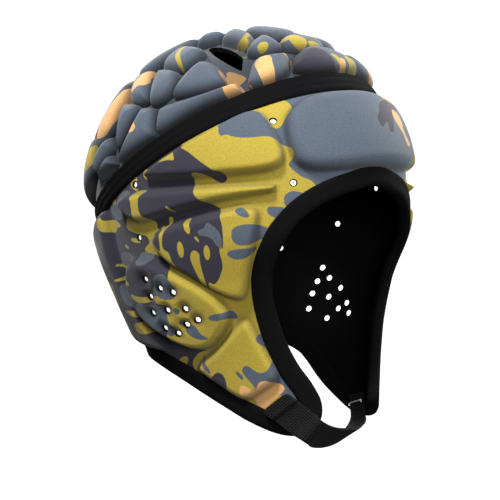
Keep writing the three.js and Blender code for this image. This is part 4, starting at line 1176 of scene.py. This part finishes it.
def add_pod(name, corners, bows):
    """One pod as a padded piece in place of its solid."""
    points, faces, spots, fold = pod(corners, bows)
    a, b, c, d = crown_skin(np.asarray(corners, float), 0)
    outward = np.dot(np.cross(b - a, d - a), a) > 0
    faces = faces if outward else [face[::-1] for face in faces]
    piece = add_piece(
        name + "_pad", points, faces, jersey, [name], spread=spots,
        marks={**print_crown(spots), "fold": fold},
    )


for name, corners, bows in SIDE_PODS:
    add_pod(f"crown_{name}_right", corners, bows)
    add_pod(f"crown_{name}_left", np.array(corners) * [-1, 1], bows)
for name, corners, bows in CENTRE_PODS:
    add_pod(f"crown_{name}", corners, bows)
print("crown pads:", 2 * len(SIDE_PODS) + len(CENTRE_PODS))

# %% [markdown]
# ## Black tape
# A black elastic band covers the joint, and folded tape binds the raw edge. Both are one cross section
# carried along a path, which is the plainest way to keep their width even round tight curves.

# %% Tape material and sweep
tape, tape_shader = new_material("black_tape", BLACK, 0.85, specular=0.05)
add_weave(tape, tape_shader, pitch=0.9, depth=0.15, bands=("X", "Y"))


def sweep(sections, closed):
    """Points, faces and spread of a section carried along a path. sections holds, for each step of the
    path, the section's own closed ring of points. An open sweep gets a fan over each end."""
    steps, sides = sections.shape[:2]
    points = sections.reshape(-1, 3)
    ring = np.concatenate([sections, sections[:, :1]], 1)
    sizes = np.linalg.norm(np.diff(ring, axis=1), axis=2)
    round_way = np.concatenate([np.zeros((steps, 1)), sizes], 1).cumsum(1)
    long_way = np.linalg.norm(np.diff(sections.mean(1), axis=0), axis=1).cumsum()
    spread = np.stack([np.repeat(np.concatenate([[0], long_way]), sides), round_way[:, :-1].ravel()], 1)
    faces = grid_faces(steps + closed, sides, wrap=True) % len(points)
    if closed:
        return points, list(faces), spread
    ends = [np.arange(sides)[::-1], np.arange(sides) + (steps - 1) * sides]
    return points, [*faces, *ends], spread


# %% [markdown]
# ## The elastic band
# The band covers the joint and draws the guard tight. A curve with a bevel would stand off the rounded
# form, so the section is laid on the form itself at each bearing: a low arch with three beads in front
# and a flat back.

# %% Elastic band
BAND_WIDTH = 15.0
BAND_DROP = 1.2  # mm by which its middle lies below the joint
BAND_LIFT = 3.3  # mm of its sides over the head form
BAND_SUNK = 1.0  # mm that its back lies below that
BAND_THICK = 1.7
BAND_SQUARENESS = 8
BAND_BEADS = 3
BEAD_DEPTH = 0.28  # share of the thickness
BAND_STEPS = 360
BAND_SIDES = 31


def band_sections(steps, sides):
    """Rings across the band: its face is a low arch with beads along it, its back lies on the base."""
    bearing = np.arange(steps)[:, None] * 360 / steps
    across = np.linspace(1, -1, sides)  # from the lower side to the upper
    bead = np.abs(np.sin(np.pi * BAND_BEADS * (across + 1) / 2))
    arch = np.sqrt(np.maximum(1 - across**BAND_SQUARENESS, 0))
    face = BAND_LIFT + BAND_THICK * arch * (1 - BEAD_DEPTH + BEAD_DEPTH * bead)
    step = np.concatenate([across, across[::-1]]) * BAND_WIDTH / 2
    lift = np.concatenate([face, np.full(sides, BAND_LIFT - BAND_SUNK)])
    return skin(bearing, rim_drop(bearing) + BAND_DROP + step, lift)


points, faces, spread = sweep(band_sections(BAND_STEPS, BAND_SIDES), closed=True)
add_piece("elastic_band", points, faces, tape, ["crown_band"], spread=spread)
print("band length, in mm:", spread[:, 0].max().round())

# %% [markdown]
# ## The edge binding
# Tape is folded over the raw edge of the laminate. A curve with a bevel would tip over in the tight turns
# of the tabs. So the section is measured from the edge, in along the surface and out from it, and grips
# the edge all the way round.

# %% Edge binding
BINDING_PROFILE = np.array([  # distance in from the edge, lift
    (9.3, 1.8), (6, 1.5), (9.4, 0.1), (9.6, -1.2), (9.1, -1.9), (6, -2.1), (3, -2.1), (0, -2.0),
    (-1.5, -1.5), (-2.2, -0.2), (-2.4, 1.5), (-2.2, 3.2), (-1.5, 4.5), (0, 5.1), (2.5, 5.1), (5, 4.9),
    (7.5, 5.1), (9.1, 4.8), (9.6, 4.0), (9.4, 2.8),
])
BINDING_STEPS = 12  # for each station of the edge


def beside_edge(station, inward, lift):
    """Points beside the lower edge: the edge's own bearing and drop, moved in along the surface at right
    angles to the edge. The move is turned into degrees and drop by the lengths of both and the angle
    between them."""
    small = 0.02  # of a station
    bearing, drop = edge_at(station)[:2]
    after, before = [skin(*edge_at(station + step)[:2], 0) for step in (small, -small)]
    along = after - before
    out = skin(bearing, drop, 1) - skin(bearing, drop, 0)
    inwards = np.cross(along, out)
    inwards /= np.linalg.norm(inwards, axis=-1, keepdims=True)
    per_bearing = skin(bearing + 0.5, drop, 0) - skin(bearing - 0.5, drop, 0)
    per_drop = skin(bearing, drop + 0.5, 0) - skin(bearing, drop - 0.5, 0)
    bb, dd, bd = [(p * q).sum(-1) for p, q in
                  ((per_bearing, per_bearing), (per_drop, per_drop), (per_bearing, per_drop))]
    b, d = (inwards * per_bearing).sum(-1), (inwards * per_drop).sum(-1)
    scale = 1 / (bb * dd - bd * bd)
    move = np.stack([(b * dd - d * bd) * scale, (d * bb - b * bd) * scale], -1)
    return skin(bearing[:, None] + move[:, :1] * inward, drop[:, None] + move[:, 1:] * inward, lift)


def binding(first, last):
    """Tape folded over the edge between two stations."""
    station = np.linspace(first, last, int((last - first) * BINDING_STEPS) + 1)
    station = np.where(station > NAPE, station - 2 * NAPE, station)
    return sweep(beside_edge(station, *BINDING_PROFILE.T), closed=False)


RUNS = [("face_binding", -TAB_TIP, TAB_TIP), ("neck_binding", TAB_TIP, 2 * NAPE - TAB_TIP)]
for name, first, last in RUNS:
    points, faces, spread = binding(first, last)
    add_piece(name + "_tape", points, faces, tape, [name], spread=spread)
    print(name, "length, in mm:", spread[:, 0].max().round())

# %% [markdown]
# ## Chin strap
# Webbing is sewn to one tab outside, runs under the chin and is sewn inside the other tab. A curve with a
# bevel twists as it likes between its ends. Here both edges are smooth curves through a few given points,
# which fixes the strap's turn everywhere, and the section between them is a flat ribbon with
# round sides.

# %% Webbing
webbing, webbing_shader = new_material("black_webbing", BLACK, 0.75, specular=0.18)
add_weave(webbing, webbing_shader, pitch=1.5, depth=0.45, bands=("X", "Y"))
STRAP_THICK = 2.2
FIRST_TAB = [  # front and rear edge, each as bearing, drop and lift
    ((44.5, 127, 6.4), (58.5, 137.5, 6.4)), ((38, 134.5, 6.4), (52, 145, 6.4)),
    ((32, 141, 6.4), (45.5, 152.5, 6.4)), ((27.5, 146.5, 6.4), (39, 158, 6.4)),
]
UNDER_CHIN = [  # front and rear edge, each as a point in mm
    ((-9, -63, -150.5), (-17, -49, -161)), ((5, -60, -151.5), (0, -43, -161.5)),
    ((18, -57, -151), (17, -38.5, -159)), ((27, -54.5, -147.5), (30, -35, -152)),
    ((29, -52, -143.5), (36.5, -34, -146)), ((30.5, -50.5, -137), (38.5, -32.5, -139)),
    ((32, -49, -130), (40, -31, -132)),
]
STRAP_STEPS = 181
STRAP_SIDES = 48
RIBBON_POWER = 0.35  # below 1, the section is squared off
HEM = 0.75  # knots of the path over which the end is folded double
HEM_THICK = 0.7  # share by which the fold is thicker
HEM_STEP = 0.02  # knots over which the thickness changes
CORNER = 0.35  # knots over which the end's corners are rounded
CORNER_CUT = 0.4  # share of the width that they take off the very end


def strap_edge(side):
    """One edge of the strap as knots: rows of the first tab lie over the form, the rest are points of
    their own."""
    tab = np.array([row[side] for row in FIRST_TAB], float)
    knots = np.vstack([skin(*tab.T), np.array([row[side] for row in UNDER_CHIN], float)])
    return np.vstack([2 * knots[0] - knots[1], knots, 2 * knots[-1] - knots[-2]])


def strap_frame(place):
    """Front edge, step to the rear edge and outward normal of the strap at places along it."""
    front, rear = [smooth_row(strap_edge(side), place) for side in (0, 1)]
    middle = (strap_edge(0) + strap_edge(1)) / 2
    small = 0.01  # of a knot
    along = smooth_row(middle, place + small) - smooth_row(middle, place - small)
    out = np.cross(rear - front, along)
    return front, rear - front, out / np.linalg.norm(out, axis=1, keepdims=True)


def squared_off(value):
    """A sine or cosine pushed towards 1 or -1: its size to the power RIBBON_POWER, with its own sign."""
    return np.sign(value) * np.abs(value)**RIBBON_POWER


def strap_sections(steps, sides):
    """Rings across the ribbon: from edge to edge by the cosine of an angle, and out by its sine, both
    squared off. The first end is thicker over its hem and narrower at its corners."""
    place = np.linspace(0, len(FIRST_TAB) + len(UNDER_CHIN) - 1, steps)
    front, across, out = strap_frame(place)
    angle = np.linspace(0, 2 * np.pi, sides, endpoint=False)
    corner = (1 - (1 - np.minimum(place / CORNER, 1))**3)**(1 / 3)
    narrow = 1 - CORNER_CUT + CORNER_CUT * corner
    share = 0.5 - 0.5 * squared_off(np.cos(angle)) * narrow[:, None]
    fold = 1 + HEM_THICK / (1 + np.exp((place - HEM) / HEM_STEP))
    height = STRAP_THICK * (0.5 + 0.5 * squared_off(np.sin(angle))) * fold[:, None]
    return front[:, None] + across[:, None] * share[..., None] + out[:, None] * height[..., None]


points, faces, spread = sweep(strap_sections(STRAP_STEPS, STRAP_SIDES), closed=False)
add_piece("chin_webbing", points, faces, webbing, ["chin_strap"], spread=spread)
print("strap length, in mm:", spread[:, 0].max().round())

# %% [markdown]
# ## White stitching
# A white thread holds the strap's far end inside its tab. It shows as a straight run of stitching with a
# short turn at each end, so it is a round section carried along four corners.

# %% Stitching
thread, thread_shader = new_material("white_thread", (0.9, 0.9, 0.9), 0.8)
add_weave(thread, thread_shader, pitch=0.5, depth=0.15, bands=("DIAGONAL",))
THREAD = 0.4  # radius in mm
THREAD_SIDES = 8
STITCH_ROW = 9.3  # knots along the strap
STITCH_TURN = 0.22  # knots of the short turn at each end
STITCH_STEPS = 8  # from corner to corner
STITCH_ENDS = (0.04, 0.97)  # shares of the strap's width


def stitch_sections(sides):
    """Rings of the thread along its run from corner to corner: a circle across the run at each step."""
    near, far = STITCH_ENDS
    turned = STITCH_ROW - STITCH_TURN
    corners = np.array([(near, turned), (near, STITCH_ROW), (far, STITCH_ROW), (far, turned)])
    legs = [np.linspace(a, b, STITCH_STEPS, endpoint=False) for a, b in zip(corners, corners[1:])]
    run = np.concatenate([*legs, corners[-1:]])
    front, across, out = strap_frame(run[:, 1])
    path = front + across * run[:, :1] - out * THREAD / 2
    angle = np.linspace(0, 2 * np.pi, sides, endpoint=False)[:, None]
    side = np.cross(out, np.gradient(path, axis=0))
    side /= np.linalg.norm(side, axis=1, keepdims=True)
    return path[:, None] + THREAD * (np.cos(angle) * side[:, None] + np.sin(angle) * out[:, None])


points, faces, spread = sweep(stitch_sections(THREAD_SIDES), closed=False)
add_piece("strap_stitching", points, faces, thread, spread=spread)
print("stitching, in mm:", spread[:, 0].max().round())

# %% [markdown]
# ## Camera
# The camera stands where the photograph was taken from, a little below the brow and round to the wearer's
# right. It is far off with a long lens, so the guard is drawn with almost no perspective.

# %% Camera
AZIMUTH, ELEVATION, ROLL = np.radians([-46.5, -2.5, 3.8])
CAMERA_DISTANCE = 2600.0
FRAME_WIDTH = 309.6  # mm of the guard's own plane across the image
AIM_RIGHT, AIM_UP = -2.3, -38.4  # mm of the image's middle from the middle of the head

right = np.array([np.cos(AZIMUTH), np.sin(AZIMUTH), 0])
up = np.array([-np.sin(AZIMUTH) * np.sin(ELEVATION), np.cos(AZIMUTH) * np.sin(ELEVATION), np.cos(ELEVATION)])
back = np.cross(right, up)
right, up = right * np.cos(ROLL) - up * np.sin(ROLL), right * np.sin(ROLL) + up * np.cos(ROLL)
eye = back * CAMERA_DISTANCE + right * AIM_RIGHT + up * AIM_UP + [0, 0, HEAD_MIDDLE]
camera = bpy.data.objects.new("camera", bpy.data.cameras.new("camera"))
camera.data.lens = camera.data.sensor_width * CAMERA_DISTANCE / FRAME_WIDTH
turned = Matrix(np.stack([right, up, back], 1).tolist()).to_4x4()
camera.matrix_world = Matrix.Translation(Vector(eye * MM)) @ turned
bpy.context.scene.collection.objects.link(camera)
bpy.context.scene.camera = camera
print("lens, in mm:", round(camera.data.lens))

# %% [markdown]
# ## Studio
# A pale bowl is floor and backdrop in one, so no edge shows from any side. It is hidden from all but the
# camera, because its light from below would flatten the pads. Large soft lights stand round the guard, as
# in a product studio, and a white world fills the shadows.

# %% Floor, backdrop and lights
FLOOR = -0.36  # in metres, as are the next three
BOWL_RADIUS = 5.0
BOWL_BEND = 1.6
BOWL_WALL = 3.0
MIDDLE_SHARE = 0.01  # of the bowl's line that one face at its middle takes
FLAT_SHARE = 0.4  # of the line that is floor
BEND_SHARE = 0.35  # of it that bends up into the wall
BOWL_STEPS = 60
BOWL_SIDES = 96
PAPER_GLOW = 0.8
WORLD_GLOW = 0.14


def bowl(steps, sides):
    """A flat disc that curves up into a straight wall: radius and height along a bent line, turned
    round."""
    share = np.linspace(MIDDLE_SHARE, 1, steps)[:, None]
    wall = np.maximum(share - FLAT_SHARE - BEND_SHARE, 0) / (1 - FLAT_SHARE - BEND_SHARE)
    turn = np.linspace(0, 2 * np.pi, sides, endpoint=False)
    angle = np.clip((share - FLAT_SHARE) / BEND_SHARE, 0, 1) * np.pi / 2
    radius = np.minimum(share / FLAT_SHARE, 1) * (BOWL_RADIUS - BOWL_BEND) + BOWL_BEND * np.sin(angle)
    height = FLOOR + BOWL_BEND * (1 - np.cos(angle)) + BOWL_WALL * wall
    return np.stack([radius * np.cos(turn), radius * np.sin(turn), height + 0 * turn], -1).reshape(-1, 3)


paper, paper_shader = new_material("pale_paper", (0.92, 0.92, 0.92), 0.9, specular=0.1)
paper_shader.inputs["Emission Color"].default_value = (1, 1, 1, 1)
paper_shader.inputs["Emission Strength"].default_value = PAPER_GLOW
mesh = bpy.data.meshes.new("studio_bowl")
sides_of_bowl = grid_faces(BOWL_STEPS, BOWL_SIDES, wrap=True)[:, ::-1]
mesh.from_pydata(bowl(BOWL_STEPS, BOWL_SIDES), [], [*sides_of_bowl, np.arange(BOWL_SIDES)])
mesh.polygons.foreach_set("use_smooth", np.ones(len(mesh.polygons), bool))
mesh.materials.append(paper)
studio_bowl = bpy.data.objects.new("studio_bowl", mesh)
bpy.context.scene.collection.objects.link(studio_bowl)
studio_bowl.visible_diffuse = False
studio_bowl.visible_glossy = False
studio_bowl.visible_shadow = False

LIGHTS = [  # name, place and size in metres, power in watts
    ("key", (-1.5, -0.5, 2.0), 0.5, 105),
    ("side", (-1.3, -1.9, 0.0), 0.6, 30),
    ("front", (0.9, -2.3, 0.8), 0.8, 36),
    ("rear", (0.9, 2.2, 1.5), 1.0, 62),
    ("left", (2.4, -0.2, 1.0), 1.0, 50),
]
LIGHT_AIM = (0, 0, -0.1)
for name, place, size, power in LIGHTS:
    lamp = bpy.data.objects.new(name, bpy.data.lights.new(name, "AREA"))
    lamp.data.size = size
    lamp.data.energy = power
    lamp.location = place
    lamp.rotation_euler = (Vector(LIGHT_AIM) - Vector(place)).to_track_quat("-Z", "Y").to_euler()
    bpy.context.scene.collection.objects.link(lamp)
world = bpy.context.scene.world or bpy.data.worlds.new("white_world")
bpy.context.scene.world = world
world.use_nodes = True
world.node_tree.nodes["Background"].inputs["Color"].default_value = (1, 1, 1, 1)
world.node_tree.nodes["Background"].inputs["Strength"].default_value = WORLD_GLOW
bpy.context.scene.view_settings.view_transform = "Standard"
print("lights:", len(LIGHTS))
